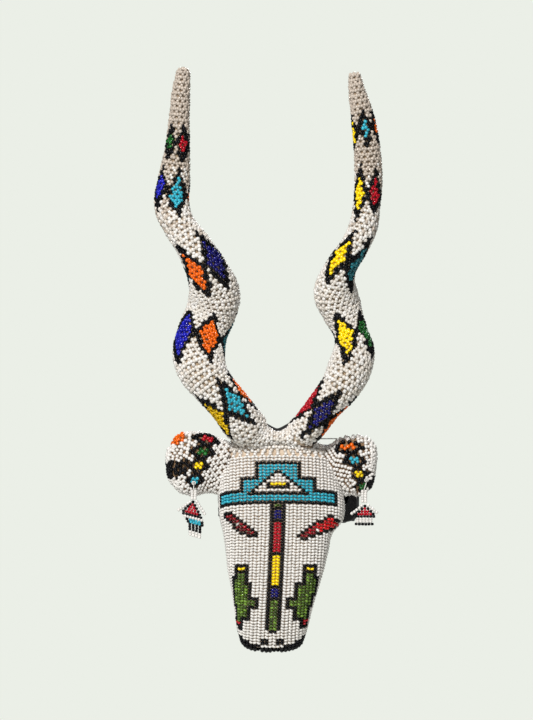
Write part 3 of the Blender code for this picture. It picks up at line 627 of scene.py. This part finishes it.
def face_chart():
    """Colour of each face bead that isn't white, by (column, row)."""
    chart = {}
    outlined(chart, TIERS, "turquoise")
    # White triangle in the tiers, edged in black, with a yellow bar.
    for k in range(7):
        fill(chart, [(5 + k, 5 + k, -k - 1, k)], "black")
        fill(chart, [(5 + k, 5 + k, -k, k - 1)], "white")
    fill(chart, [(9, 10, -3, 2), (12, 12, -8, 7)], "black")
    fill(chart, [(9, 9, -2, 1)], "yellow")
    # Centre strip, nostrils and snout edge.
    for first, last, colour in STRIP:
        fill(chart, [(first, last, -2, 1)], "black")
        fill(chart, [(first, last, -1, 0)], colour)
    fill(chart, [(58, 58, -1, 0), (61, 62, -3, -2), (61, 62, 1, 2)], "black")
    for row, first in SNOUT_EDGE:
        fill(chart, [(row, row, first, 19), (row, row, -20, -first - 1)], "black")
    # Eyes: darkest on the left, brightest on the right, each with one pale bead.
    outlined(chart, EYE_LEFT, "dark_red", corners=False)
    outlined(chart, EYE_RIGHT, "dark_red", corners=False)
    for (c, r), colour in list(chart.items()):
        if colour == "dark_red" and (c > 0 or chart.get((c, r - 1)) == "black"):
            chart[c, r] = "bright_red" if c > 9 else "crimson"
    chart[-11, 22], chart[10, 24] = "grey", "white"
    # Stepped green shapes, with a yellow bar above and red beads below.
    outlined(chart, CACTUS_LEFT, "olive")
    outlined(chart, CACTUS_RIGHT, "olive")
    fill(chart, [(37, 37, -10, -9), (37, 37, 8, 9)], "yellow")
    fill(chart, [(38, 38, -10, -9), (38, 38, 8, 9)], "black")
    fill(chart, [(56, 56, -11, -10), (55, 56, 8, 8), (55, 55, 9, 9)], "red")
    return chart


HERRINGBONE = math.radians(25)          # lean of the beads from their column


def lean_axes(down, across, column):
    """Bead axes of a herringbone column: neighbouring columns lean opposite ways."""
    side = np.where(np.mod(column, 2) == 1, 1.0, -1.0)[:, None]
    return unit(down * math.cos(HERRINGBONE) + across * side * math.sin(HERRINGBONE))


def place_columns(beads, at, first, last, count, colours):
    """Beads of one row at a station, spread over the columns from first to last."""
    run = float(head_run(at))
    turn = np.linspace(first, last, 2 * count + 1)[1::2] * COLUMN / head.girth(run)
    points, normals, rounds, alongs = head.at(np.full(count, run), turn)
    numbers = int(first) + np.arange(count)
    beads.add(colours, points, lean_axes(alongs, rounds, numbers), normals, LARGE_RADIUS, LARGE_LENGTH)


SNOUT_STEP = 2.1                        # spacing of the bead rings over the snout's end, mm
SNOUT_RADIUS, SNOUT_LENGTH = LARGE_RADIUS + 0.06, LARGE_LENGTH + 0.3        # and their beads' size
SNOUT_GAPS, SNOUT_GAP_HALF = (-13.9, -0.8), 2.0     # two gaps in them: x of each middle and half width, mm


def build_face():
    """Columns of beads over the face and jaw, then rings of black beads over the snout's end."""
    chart = face_chart()
    face = Beads("face_beads")
    jaw = Beads("jaw_beads")
    for row, at in enumerate(face_stations()):
        left, right = arc_to(at, -FACE_EDGE), arc_to(at, FACE_EDGE)
        first, last = -int(left / COLUMN), int(right / COLUMN)
        colours = [chart.get((c, row), "white") for c in range(first, last)]
        place_columns(face, at, first, last, last - first, colours)
        if at >= JAW_TOP:
            end = float(head.girth(head_run(at))) / COLUMN + first
            place_columns(jaw, at, last, end, int(end - last), "black")
    snout = Skin(snout_rings(BEAD_DEPTH), 120)
    for run in np.arange(1.5, snout.length - 0.6, SNOUT_STEP):
        count = max(3, int(float(snout.girth(run)) / COLUMN))
        points, normals, _, alongs = snout.at(np.full(count, run), (np.arange(count) + 0.5) / count)
        keep = np.ones(count, bool)
        for x in SNOUT_GAPS:
            keep &= (np.abs(points[:, 0] - x) >= SNOUT_GAP_HALF) | (normals[:, 1] >= 0.2)
        jaw.add("black", points[keep], alongs[keep], normals[keep], SNOUT_RADIUS, SNOUT_LENGTH)
    face.build(["face_beadwork"])
    jaw.build(["jaw_beadwork"])


# ---------------------------------------------------------------- netting

NET_SIZES = (0.94, 1.16)                # least and greatest size of a net's beads, as the skin stretches
BLACK_SIZE = 1.06                       # black beads are a little larger


def net(skin, start, stop, row_step=4.0, count=None, phase=0.0, pitch=5.0):
    """Diamond netting over a stretch of a skin: a bead at each knot and one on each strand.

    Each row of the result holds a bead's run and turn, its axis (along, round) and its place in the
    net's rows, which is a whole number at a knot.
    """
    runs = np.arange(start, stop, row_step)
    counts = [count or max(4, 2 * int(round(float(skin.girth(run)) / pitch / 2))) for run in runs]
    shifts = [phase + 0.5 * (k % 2) / n for k, n in enumerate(counts)]
    found = []
    for k, run in enumerate(runs):
        knots = np.arange(counts[k]) / counts[k] + shifts[k]
        found += [(run, t, 0.0, 1.0, k) for t in knots]
        if k + 1 == len(runs):
            break
        girth = float(skin.girth(run))
        for t in knots:
            low = math.floor((t - shifts[k + 1]) * counts[k + 1] + 1e-6)
            for target in (low, low + 1):
                sweep_by = target / counts[k + 1] + shifts[k + 1] - t
                rise = runs[k + 1] - run
                found.append((run + rise / 2, t + sweep_by / 2, rise, sweep_by * girth, k + 0.5))
    return np.array(found)


def add_net(beads, skin, found, colours, keep=None):
    """Beads of a net on a skin, each coloured by a function of the net's rows and the beads' points."""
    points, normals, rounds, alongs = skin.at(found[:, 0], found[:, 1])
    axes = unit(alongs * found[:, 2:3] + rounds * found[:, 3:4])
    slack = draws.normal(0, 1, (3, len(found), 1)) * np.array(NET_SLACK)[:, None, None]
    centres = points - normals * (NET_DEPTH + slack[2]) + rounds * slack[0] + alongs * slack[1]
    names = np.array(colours(found, points), dtype=object)
    ahead, behind = (skin.at(found[:, 0] + step, found[:, 1])[0] for step in (1, -1))
    stretch = np.linalg.norm(ahead - behind, axis=1) / 2
    sizes = np.clip(stretch, *NET_SIZES) * np.where(names == "black", BLACK_SIZE, 1.0)
    wanted = np.ones(len(names), bool) if keep is None else keep(centres)
    beads.add(list(names[wanted]), centres[wanted], axes[wanted], normals[wanted],
              NET_RADIUS * sizes[wanted], NET_LENGTH * sizes[wanted])


def thinned(points, order, apart):
    """Which points to keep so that none is nearer than its limit to one before it in the order."""
    kept = []
    for number in np.argsort(order, kind="stable"):
        if not kept or np.linalg.norm(points[kept] - points[number], axis=1).min() > apart[number]:
            kept.append(number)
    return np.sort(kept)


def near_node(node, reach=1.7):
    """A test that picks the points within reach (mm) of a CAD node's surface."""
    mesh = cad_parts[node].data
    tree = BVHTree.FromPolygons([v.co for v in mesh.vertices], [p.vertices for p in mesh.polygons])

    def keep(points):
        return np.array([tree.find_nearest(Vector(p), reach * MM)[0] is not None for p in to_row(points)])

    return keep


# ---------------------------------------------------------------- horns

# Bands of diamonds: (run at the middle, half length, turn, lean in turns per mm, colour), mm and turns.
BANDS_LEFT = [
    [(33, 17, 0.290, 0, "orange"), (31.5, 21, 0.433, 0, "turquoise"), (30, 21, 0.678, 0, "gold"),
     (31, 19, 0.930, 0, "dark_blue")],
    [(92, 24, 0.250, 0, "dark_teal"), (89.5, 27, 0.442, 0.0012, "orange"), (89, 19.5, 0.650, 0, "blue"),
     (90, 22, 0.930, 0, "yellow")],
    [(155, 20, 0.385, 0, "dark_blue"), (154, 22.5, 0.606, 0.0024, "orange"), (153, 19, 0.800, 0, "dark_teal"),
     (155, 19, 0.130, 0, "yellow")],
    [(212.5, 22, 0.445, 0, "turquoise"), (219.5, 15.5, 0.667, 0, "blue"), (213, 21, 0.930, 0, "red"),
     (213, 21, 0.190, 0, "orange")],
    [(254.6, 14.1, 0.417, 0, "red"), (254.6, 14.1, 0.625, 0, "dark_green"), (254.6, 14, 0.870, 0, "orange"),
     (254.6, 14, 0.170, 0, "yellow")],
]
BANDS_RIGHT = [
    [(25, 24, 0.282, 0, "orange"), (28, 22, 0.475, 0, "dark_blue"), (26, 22, 0.700, 0, "red"),
     (27, 20, 0.000, 0, "yellow")],
    [(92, 18, 0.335, 0, "dark_green"), (89.5, 27.5, 0.560, 0, "yellow"), (90, 22, 0.820, 0, "turquoise"),
     (90, 22, 0.080, 0, "red")],
    [(158, 21.7, 0.345, 0, "dark_teal"), (158.5, 18.7, 0.585, 0, "yellow"), (158, 19, 0.840, 0, "dark_blue"),
     (158, 19, 0.090, 0, "orange")],
    [(212, 17.5, 0.410, 0, "red"), (210.5, 25, 0.612, 0, "yellow"), (211, 21, 0.860, 0, "dark_blue"),
     (211, 21, 0.140, 0, "dark_green")],
    [(262.6, 13, 0.290, 0, "orange"), (262.6, 13, 0.492, 0, "turquoise"), (260, 13, 0.710, 0, "yellow"),
     (261, 13, 0.000, 0, "red")],
]
EDGE_INSIDE, EDGE_OUTSIDE = 2.5, 0.9    # black edging either side of a diamond's outline, mm
HORN_IVORY = 0.6                        # share of ivory beads between the diamonds
TIP_SHADE_FROM, TIP_SHADE_OVER = 170.0, 70.0    # where the darker cream beads of painted shade start towards the tip, and how long till all are cream, mm


def diamond_colours(bands, girth):
    """A function giving each bead its colour: diamonds that touch round the horn, edged in black.

    Between the diamonds white and ivory beads give way to darker cream ones towards the tip, as painted shade
    for the light that falls off there.
    """

    def colours(found, points):
        runs, turns = found[:, 0], np.mod(found[:, 1], 1.0)
        names = np.full(len(runs), "white", dtype=object)
        chance = draws.uniform(0, 1, len(runs))
        names[chance < HORN_IVORY] = "ivory"
        # painted shade: more and more darker beads towards the horn tip
        names[chance < np.clip((runs - TIP_SHADE_FROM) / TIP_SHADE_OVER, 0, 1)] = "cream"
        inside = np.full(len(runs), "", dtype=object)
        for band in bands:
            band = sorted(band, key=lambda d: d[2])
            for number, (middle, half_run, turn, lean, colour) in enumerate(band):
                after = (band[(number + 1) % 4][2] - turn) % 1.0 / 2
                before = (turn - band[number - 1][2]) % 1.0 / 2
                away = np.mod(turns - turn - lean * (runs - middle) + 0.5, 1.0) - 0.5
                share = np.abs(away) / np.where(away > 0, after, before) + np.abs(runs - middle) / half_run
                half_width = (after + before) / 2 * float(girth(middle))
                reach = half_width * half_run / math.hypot(half_width, half_run)
                names[share < 1 + EDGE_OUTSIDE / reach] = "black"
                inside[share < 1 - EDGE_INSIDE / reach] = colour
        names[inside != ""] = inside[inside != ""]
        return names

    return colours


def build_horns():
    """Netting and the cloth under it for both horns."""
    for side, points, bands in (("left", HORN_LEFT, BANDS_LEFT), ("right", HORN_RIGHT, BANDS_RIGHT)):
        tip = points[-1][3]
        skin = Skin(sweep(points, tip=tip))
        beads = Beads(f"horn_beads_{side}")
        add_net(beads, skin, net(skin, 1.0, skin.length - 0.8), diamond_colours(bands, skin.girth))
        beads.build([f"horn_beadwork_{side}"])
        core = sweep(points, BACKING, tip - BACKING, 2.0, 48)
        lofted(f"horn_cloth_{side}", core, net_cloth, [f"horn_core_{side}"])


# ---------------------------------------------------------------- yoke, crown and ears

YOKE_STEP, CROWN_STEP = 4.4, 4.5        # spacing of the net's rows between the horns and on the crown, mm


def plain_colours(found, points):
    """Half the beads ivory and half white."""
    return np.where(draws.uniform(0, 1, len(points)) < 0.5, "ivory", "white").astype(object)


def build_poll():
    """Netting between the horns, its cloth, and the felt pad behind it, rounded at both ends."""
    skin = Skin(sweep(YOKE))
    yoke = Beads("yoke_beads")
    found = net(skin, 1.5, skin.length - 1.0, YOKE_STEP)
    add_net(yoke, skin, found, plain_colours, near_node("poll_yoke_beadwork"))
    yoke.build(["poll_yoke_beadwork"])
    lofted("poll_cloth", sweep(YOKE, BACKING, sides=48), face_cloth, ["poll_core"])
    pad = sweep(PAD, tip=4.0, sides=32)
    middle = pad[0].mean(axis=0)
    start = [middle + (pad[0] - middle) * size - np.array([out, 0, 0])
             for size, out in ((0.35, 3.4), (0.7, 2.6), (0.92, 1.2))]
    pad = lofted("poll_felt_pad", np.concatenate([start, pad]), felt, ["poll_back_pad"])


STITCH_STEP = 5.9           # spacing of the long stitches above the face, mm
STITCH_RISES = (2.4, 4.5)   # height above the face of the two beads on each stitch, mm
STITCH_LENGTH = 1.95        # length of those beads, mm
CROWN_TOP = 21.0            # height of the netted crown above the head's first full ring, mm
CROWN_FALL = 0.22           # how steeply the crown's top falls away to the right


def crown_rings(inset, sides=96):
    """Rings of the rounded crown, from the brow up."""
    rings = []
    for share in np.concatenate([np.linspace(0, 0.9, 19), [0.94, 0.97]]):
        rise = (CROWN_TOP - inset) * math.sin(share * math.pi / 2)
        ring = head_ring(CROWN_AT - rise, full_turn(sides), inset, math.cos(share * math.pi / 2) ** 0.4)
        ring[:, 2] -= CROWN_FALL * share * np.clip(ring[:, 0], 0, None)
        rings.append(ring)
    return rings


def outside(paths, overlap=0.8):
    """A test that picks the points outside these swept shapes, or no deeper in them than the overlap (mm)."""
    lines = [along(path, 1.0) for path in paths]

    def keep(points):
        clear = np.ones(len(points), bool)
        for line in lines:
            gaps = np.linalg.norm(points[:, None] - line[None, :, :3], axis=2)
            near = gaps.argmin(axis=1)
            clear &= gaps.min(axis=1) > line[near, 3:5].mean(axis=1) - overlap
        return clear

    return keep


def build_brow():
    """Long stitches above the face, the netted crown, and the cloth under the face and crown."""
    lace = Beads("brow_beads")
    run = float(head_run(FACE_TOP))
    each_way = int(arc_to(FACE_TOP, 100) / STITCH_STEP)
    for number in range(-each_way, each_way + 1):
        for rise in STITCH_RISES:
            points, normals, _, alongs = head.at(run - rise, number * STITCH_STEP / head.girth(run))
            lace.add("white", points, alongs, normals, NET_RADIUS, STITCH_LENGTH)
    crown = Skin(crown_rings(0.0))
    found = net(crown, 3.2, crown.length - 4, CROWN_STEP)
    clear = outside([HORN_LEFT, HORN_RIGHT, YOKE, EAR_LEFT, EAR_RIGHT, PAD])
    add_net(lace, crown, found, plain_colours, clear)
    lace.build(["brow_lacing"])
    rings, _ = head_rings(BACKING)
    lofted("head_cover", rings, face_cloth, ["head_cloth"])
    lofted("crown_cover", crown_rings(BACKING), face_cloth, [])


# A chain of crosses runs down the front of each ear, leaning outward.
CROSSES_LEFT = ("red", "dark_green", "yellow", "turquoise")         # colours from the top
CROSSES_RIGHT = ("orange", "turquoise", "yellow", "dark_green")
SECOND_LEFT, SECOND_RIGHT = 14.2, 8.7                   # height of the second cross, mm
CHAIN_LEFT, CHAIN_RIGHT = (-61.8, 3.0), (63.8, 3.0)     # a point (x, z) on the line of the chain, mm
LEAN_LEFT, LEAN_RIGHT = 0.25, 0.40                      # how far out the net moves for each mm down
PHASE_LEFT, PHASE_RIGHT = -0.014, 0.017                 # how far round the ear the net is shifted, turns
ROOT_LEFT, ROOT_RIGHT, APART = 1.8, 2.0, 1.8            # least spacing of beads at the root and beyond, mm
EAR_STEP, EAR_COUNT = 4.05, 20                          # spacing of the net's rows (mm) and knots in a row
ROOT_ROWS = 4                                           # extra rows, which the lean brings onto the ear
CROSS_SIZE, DIAMOND_SIZE = 0.6, 1.05                    # half size of a cross and of its diamond, in knots


def cross_colours(crosses, second_height, row, edge):
    """A function giving each bead its colour: crosses in black diamonds that meet down the ear.

    The crosses are centred on every second knot of one row, and edge colours the ear's outer side.
    """

    def colours(found, points):
        names = np.full(len(found), "white", dtype=object)
        front = (found[:, 4] == row) & (points[:, 1] < np.median(points[:, 1]))
        knots = np.flatnonzero(front)
        knots = knots[np.argsort(-points[knots, 2])]
        second = int(np.argmin(np.abs(points[knots, 2] - second_height)))
        for number, colour in enumerate(crosses):
            knot = knots[min(max(second + 2 * (number - 1), 0), len(knots) - 1)]
            rows_away = np.abs(found[:, 4] - row)
            round_away = np.abs(np.mod(found[:, 1] - found[knot, 1] + 0.5, 1.0) - 0.5) * EAR_COUNT
            share = rows_away / 2 + round_away
            names[(share < DIAMOND_SIZE) & (names == "white")] = "black"
            names[share < CROSS_SIZE] = colour
        edge(names, points)
        return names

    return colours


def right_edge(names, points):
    """The right ear's lower outer rim is black."""
    x, _, z = points.T
    names[(x > 66.0) & (z < -4) & (x - 0.3 * z > 73.0)] = "black"


def left_edge(names, points):
    """The left ear's outer side: an orange patch above and a ragged black patch below."""
    x, _, z = points.T
    names[(x < -69) & (z > 19 + 0.3 * (x + 80))] = "orange"
    reach = 6.0 + draws.uniform(-2.5, 2.5, len(points))
    names[(x < -68) & (np.abs(z - 1.0) < reach) & (names == "white")] = "black"


def build_ear(side, points, crosses, second_height, chain, lean, phase, root_apart, edge):
    """Netting on one ear, leaning so that a row of knots follows the chain of crosses, and its cloth."""
    skin = Skin(sweep(points, tip=EAR_TIP))
    outward_by = abs(chain[0] - points[0][0])
    row = int(outward_by / EAR_STEP) + ROOT_ROWS
    found = net(skin, outward_by - row * EAR_STEP, skin.length + 9, EAR_STEP, EAR_COUNT, phase)
    height = skin.at(np.clip(found[:, 0], 0, skin.length), found[:, 1])[0][:, 2]
    found[:, 0] += lean * (chain[1] - height)
    found = found[(found[:, 0] > 0.3) & (found[:, 0] < skin.length - 0.7)]
    apart = np.where(found[:, 4] < row - 1.3, root_apart, APART)
    found = found[thinned(skin.at(found[:, 0], found[:, 1])[0], np.abs(found[:, 4] - row), apart)]
    beads = Beads(f"ear_beads_{side}")
    colours = cross_colours(crosses, second_height, row, edge)
    add_net(beads, skin, found, colours, near_node(f"ear_beadwork_{side}"))
    beads.build([f"ear_beadwork_{side}"])
    core = sweep(points, BACKING, EAR_TIP - BACKING, 1.0, 48)
    lofted(f"ear_cloth_{side}", core, ear_cloth, [f"ear_core_{side}"])


def build_ears():
    """Both ears."""
    build_ear("left", EAR_LEFT, CROSSES_LEFT, SECOND_LEFT, CHAIN_LEFT, LEAN_LEFT, PHASE_LEFT, ROOT_LEFT,
              left_edge)
    build_ear("right", EAR_RIGHT, CROSSES_RIGHT, SECOND_RIGHT, CHAIN_RIGHT, LEAN_RIGHT, PHASE_RIGHT,
              ROOT_RIGHT, right_edge)


# ---------------------------------------------------------------- neck sleeve

NECK_CENTRE, NECK_HALF = (8.0, -10.5), (54.0, 28.5)     # (x, z) and half sizes, mm
NECK_FRONT, NECK_REAR = -60.0, -10.3                    # y, mm
# How much larger than NECK_HALF the neck is along its length: (y, growth) in mm.
NECK_LEVELS = [(-60.0, -2.5), (-50.0, -0.5), (-28.0, 0.0), (-10.3, -1.5)]
NECK_SQUARE = 0.22          # power that rounds the neck's corners
NECK_TUCK = 0.8             # how far the cloth is drawn in on the left, mm
NECK_SAG = 3.0              # how far the cloth sags below the stuffed neck at the front, mm
HEM = 7.0                   # depth of the folded hem, mm
SLEEVE_OUT, HEM_OUT = 0.3, 0.9      # how far the sleeve and its hem stand outside the CAD neck, mm
STITCH = (0.28, 2.6)        # radius and length of a stitch at the hem, mm
STITCHES = 96               # number of stitches round the hem


def neck_ring(y, outside_by, sides=120):
    """Rounded rectangle across Y, outside the CAD neck by this much (mm) and swollen in soft folds."""
    grow = float(np.interp(y, *zip(*NECK_LEVELS))) + outside_by
    q = 2 * np.pi * (np.arange(sides) + 0.5) / sides
    c, s = np.cos(q), np.sin(q)
    depth = (y - NECK_REAR) / (NECK_FRONT - NECK_REAR)
    folds = sum(size * np.sin(count * q + twist * depth)
                for size, count, twist in ((0.45, 9, 2.2), (0.3, 17, -5), (0.2, 31, 9)))
    folds *= math.sin(math.pi * min(max(depth, 0.0), 1.0)) ** 0.7
    half_x = NECK_HALF[0] + grow + folds - np.where(c < 0, NECK_TUCK, 0)
    half_z = NECK_HALF[1] + grow + folds + np.where(s < 0, NECK_SAG * depth, 0)
    x = NECK_CENTRE[0] + half_x * np.sign(c) * np.abs(c) ** NECK_SQUARE
    z = NECK_CENTRE[1] + half_z * np.sign(s) * np.abs(s) ** NECK_SQUARE
    return np.stack([x, np.full(sides, y), z], axis=1)


def build_neck():
    """Sleeve of black cloth with a thicker hem at the board, and the stitches round the hem."""
    hem = NECK_REAR - HEM
    ys = np.concatenate([np.arange(NECK_FRONT, hem, 1.6), [hem, hem + 0.3]])
    rings = [neck_ring(y, SLEEVE_OUT) for y in ys]
    rings += [neck_ring(y, HEM_OUT) for y in np.arange(hem + 0.7, NECK_REAR - 0.3, 1.1)]
    rings.append(neck_ring(NECK_REAR - 0.1, -0.2))
    sleeve = lofted("neck_sleeve", rings, black_cloth, ["neck_cloth"])
    path = neck_ring(hem + 1.1, HEM_OUT + 0.05, STITCHES)
    ways = unit(np.roll(path, -1, axis=0) - np.roll(path, 1, axis=0))
    outs = unit(path - np.array([NECK_CENTRE[0], path[0, 1], NECK_CENTRE[1]]))
    verts = bead_verts(np.hstack([path, ways, outs, np.tile(STITCH, (STITCHES, 1))]))
    add_piece("neck_stitches", verts, bead_faces(STITCHES), [dark_thread], [])


# ---------------------------------------------------------------- pendants

PENDANT_Y = -96.5           # both pendants hang in one plane, mm
FRONT = np.array([0.0, -1.0, 0.0])
ANCHOR_RIGHT, ANCHOR_LEFT = (66.6, -7.0), (-62.8, -9.0)     # (x, z) of the stitch in the ear, mm
STRING_STEP = 2.1           # spacing of the beads on a strand, mm
KEY = {"W": "white", "K": "black", "R": "red", "T": "turquoise"}
# Rows of each triangle: its beads, and how far down from the apex it lies, as a share.
TRIANGLE_RIGHT = (("K", 0.05), ("KRK", 0.33), ("KRRRK", 0.61), ("KRRRRRK", 0.89))
TRIANGLE_LEFT = (("K", 0.05), ("KRK", 0.27), ("KRRK", 0.49), ("KRRRK", 0.71), ("KRRRRRK", 0.93))


class Hanging(Beads):
    """Beads that hang from an ear; places are (x, z) in mm from the stitch that holds them."""

    def __init__(self, part, body, anchor):
        super().__init__(part, body)
        self.anchor = anchor

    def row(self, start, end, letters, strung=False):
        """Beads spread evenly from start to end, one for each letter.

        Strung beads lie on a thread from start to end; the others hang side by side with upright holes.
        """
        a, b = np.array(start, float), np.array(end, float)
        several = len(letters) > 1
        shares = np.linspace(0, 1, len(letters)) if several else np.array([0.5])
        spots = a + (b - a) * shares[:, None]
        centres = np.stack([self.anchor[0] + spots[:, 0], np.full(len(spots), PENDANT_Y),
                            self.anchor[1] + spots[:, 1]], axis=1)
        across = unit(np.array([(b - a)[0], 0.0, (b - a)[1]])) if several else np.array([1.0, 0, 0])
        way = across if strung else np.cross(across, FRONT)
        self.add([KEY[c] for c in letters], centres, way, FRONT, SMALL_RADIUS, SMALL_LENGTH)

    def strand(self, start, end):
        """A string of white beads from start to end."""
        count = int(round(math.dist(start, end) / STRING_STEP + 1))
        self.row(start, end, "W" * count, strung=True)

    def triangle(self, rows, apex, left, right):
        """Rows of beads, wider and wider, from the apex down to a side that runs from left to right."""
        apex, left, right = (np.array(p, float) for p in (apex, left, right))
        for letters, share in rows:
            self.row(apex + (left - apex) * share, apex + (right - apex) * share, letters)


def build_pendants():
    """On each ear, two strings of beads and a panel below them."""
    knot = Hanging("pendant_knot_beads_right", "pendant_right_top", ANCHOR_RIGHT)
    for x in (-2.9, -0.5):
        knot.row((x, -8.2), (x - 0.1, -15.7), "WWWWW", strung=True)
    knot.build(["pendant_knot_right"])
    panel = Hanging("pendant_beads_right", "pendant_right_panel", ANCHOR_RIGHT)
    panel.strand((-3.5, -19.0), (-10.8, -25.0))
    panel.strand((1.3, -19.0), (7.8, -24.0))
    panel.triangle(TRIANGLE_RIGHT, (-1.05, -18.9), (-8.4, -26.0), (6.0, -26.0))
    panel.row((-8.4, -27.0), (5.6, -27.0), "KKKKKKK")
    for x in (-6.7, -4.2, -1.7, 0.8, 3.3):
        panel.row((x, -28.9), (x, -30.8), "WW", strung=True)
    panel.row((-7.6, -32.7), (4.4, -32.7), "KKKKKK")
    panel.build(["pendant_strand_right_1", "pendant_strand_right_2", "pendant_panel_right",
                 "pendant_rows_right_1", "pendant_rows_right_2"])

    knot = Hanging("pendant_knot_beads_left", "pendant_left_top", ANCHOR_LEFT)
    for x in (-1.15, 1.15):
        knot.row((x, -6.2), (x - 0.1, -11.4), "WWWW", strung=True)
    knot.build(["pendant_knot_left"])
    panel = Hanging("pendant_beads_left", "pendant_left_panel", ANCHOR_LEFT)
    panel.strand((-2.8, -14.0), (-11.4, -20.2))
    panel.strand((2.2, -13.8), (8.0, -23.0))
    panel.triangle(TRIANGLE_LEFT, (-0.5, -13.8), (-8.2, -21.2), (4.9, -24.6))
    panel.row((-7.6, -22.6), (5.4, -26.0), "KKKKKKK")
    panel.row((-6.4, -24.6), (5.9, -27.9), "WWWWWWW")
    panel.row((-5.0, -26.7), (6.3, -29.8), "KTTTTK")
    panel.row((-4.2, -28.6), (6.4, -31.6), "KTTTTK")
    for x, top in ((-3.0, -30.6), (-0.4, -31.3), (2.2, -32.0), (4.8, -32.7)):
        panel.row((x, top), (x * 0.9, top - 7.8), "KKKWW", strung=True)
    panel.build(["pendant_strand_left_1", "pendant_strand_left_2", "pendant_panel_left",
                 "pendant_rows_left_1", "pendant_rows_left_2", "pendant_rows_left_3"])


# ---------------------------------------------------------------- CAD parts that stay visible


def finish_nodes():
    """Gives the CAD nodes that are still seen their finished materials."""
    wire = steel_material("iron_wire", (0.42, 0.41, 0.40), 0.3, 0.55)
    plate = steel_material("stamped_plate", (0.62, 0.61, 0.60), 0.22, 0.45)
    plated = steel_material("plated_screw", (0.70, 0.62, 0.42), 0.2, 0.4)
    finishes = {"ear_wire_right": wire, "hanger_strip": plate, "back_board": wood_material(),
                "neck_core": stuffing, "head_form": stuffing}
    for side in ("left", "right"):
        finishes[f"horn_wire_{side}"] = wire
        finishes[f"hanger_screw_{side}"] = plated
        for part in ("anchor", "loop", "thread"):
            finishes[f"pendant_{part}_{side}"] = thread
    for name, material in finishes.items():
        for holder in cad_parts[name].material_slots:
            holder.material = material


# ---------------------------------------------------------------- floor, light and camera

FLOOR_RADIUS, FLOOR_HEIGHT = 1.2, -0.30         # metres
FLOOR_FADE = 0.45                               # radius where the floor starts to fade out, metres
FLOOR_SIDES = 96


def build_stage():
    """A round pale floor that fades into the backdrop at its edge."""
    turns = 2 * np.pi * np.arange(FLOOR_SIDES) / FLOOR_SIDES
    mesh = bpy.data.meshes.new("floor")
    mesh.from_pydata([(FLOOR_RADIUS * math.cos(q), FLOOR_RADIUS * math.sin(q), FLOOR_HEIGHT) for q in turns],
                     [], [tuple(range(FLOOR_SIDES))])
    mat, tree, bsdf = start_material("floor")
    away = add_node(tree, "ShaderNodeVectorMath", {0: object_place(tree)})
    away.operation = "LENGTH"
    fade = add_node(tree, "ShaderNodeMapRange", {"Value": away.outputs["Value"], "From Min": FLOOR_FADE,
                                                 "From Max": FLOOR_RADIUS, "To Min": 1.0, "To Max": 0.0})
    fade.interpolation_type = "SMOOTHSTEP"
    set_inputs(tree, bsdf, {"Base Color": (0.80, 0.82, 0.78, 1), "Roughness": 0.9, "Alpha": fade.outputs[0]})
    mesh.materials.append(mat)
    floor = link(bpy.data.objects.new("floor", mesh))


# Colours of the backdrop as the camera sees it and as it lights the object, and the strength of that light.
BACKDROP, GLOW, AMBIENT = (0.831, 0.863, 0.799, 1), (0.97, 1.0, 0.96, 1), 0.17
# Lamps: name, place, the point it shines at, diameter (metres) and power (watts).
LAMPS = [("key", (-0.8, -1.9, 1.6), (0, -0.08, 0.06), 0.45, 69),
         ("fill", (0.1, -2.5, 0.1), (0, -0.08, 0.0), 0.9, 7),
         ("rear", (0.5, 1.8, 1.2), (0, 0, 0.08), 0.9, 22)]


def build_light():
    """The backdrop, which the camera sees brighter than it lights the object, and the lamps."""
    world = bpy.data.worlds.new("studio")
    bpy.context.scene.world = world
    world.use_nodes = True
    tree = world.node_tree
    seen = tree.nodes["Background"]
    set_inputs(tree, seen, {"Color": BACKDROP})
    lit = add_node(tree, "ShaderNodeBackground", {"Color": GLOW, "Strength": AMBIENT})
    direct = add_node(tree, "ShaderNodeLightPath", {}).outputs["Is Camera Ray"]
    mix = add_node(tree, "ShaderNodeMixShader", {0: direct, 1: lit.outputs[0], 2: seen.outputs[0]})
    set_inputs(tree, tree.nodes["World Output"], {"Surface": mix.outputs[0]})
    for name, spot, aim, size, power in LAMPS:
        data = bpy.data.lights.new(name, "AREA")
        data.shape = "DISK"
        data.size = size
        data.energy = power
        lamp = link(bpy.data.objects.new(name, data))
        lamp.location = spot
        lamp.rotation_euler = (Vector(aim) - Vector(spot)).to_track_quat("-Z", "Y").to_euler()


CAMERA_SPOT = (-0.01625, -3.095, 0.09375)       # metres; it looks straight along +Y
LENS, SENSOR = 200.0, 36.0                      # focal length and height of the picture, mm


def build_camera():
    """A long lens square to the face."""
    data = bpy.data.cameras.new("camera")
    data.sensor_fit = "VERTICAL"
    data.sensor_height = SENSOR
    data.lens = LENS
    camera = link(bpy.data.objects.new("camera", data))
    camera.location = CAMERA_SPOT
    camera.rotation_euler = (math.radians(90), 0, 0)
    bpy.context.scene.camera = camera


bpy.context.scene.view_settings.view_transform = "Standard"

build_face()
build_horns()
build_poll()
build_brow()
build_ears()
build_neck()
build_pendants()
finish_nodes()
build_stage()
build_light()
build_camera()
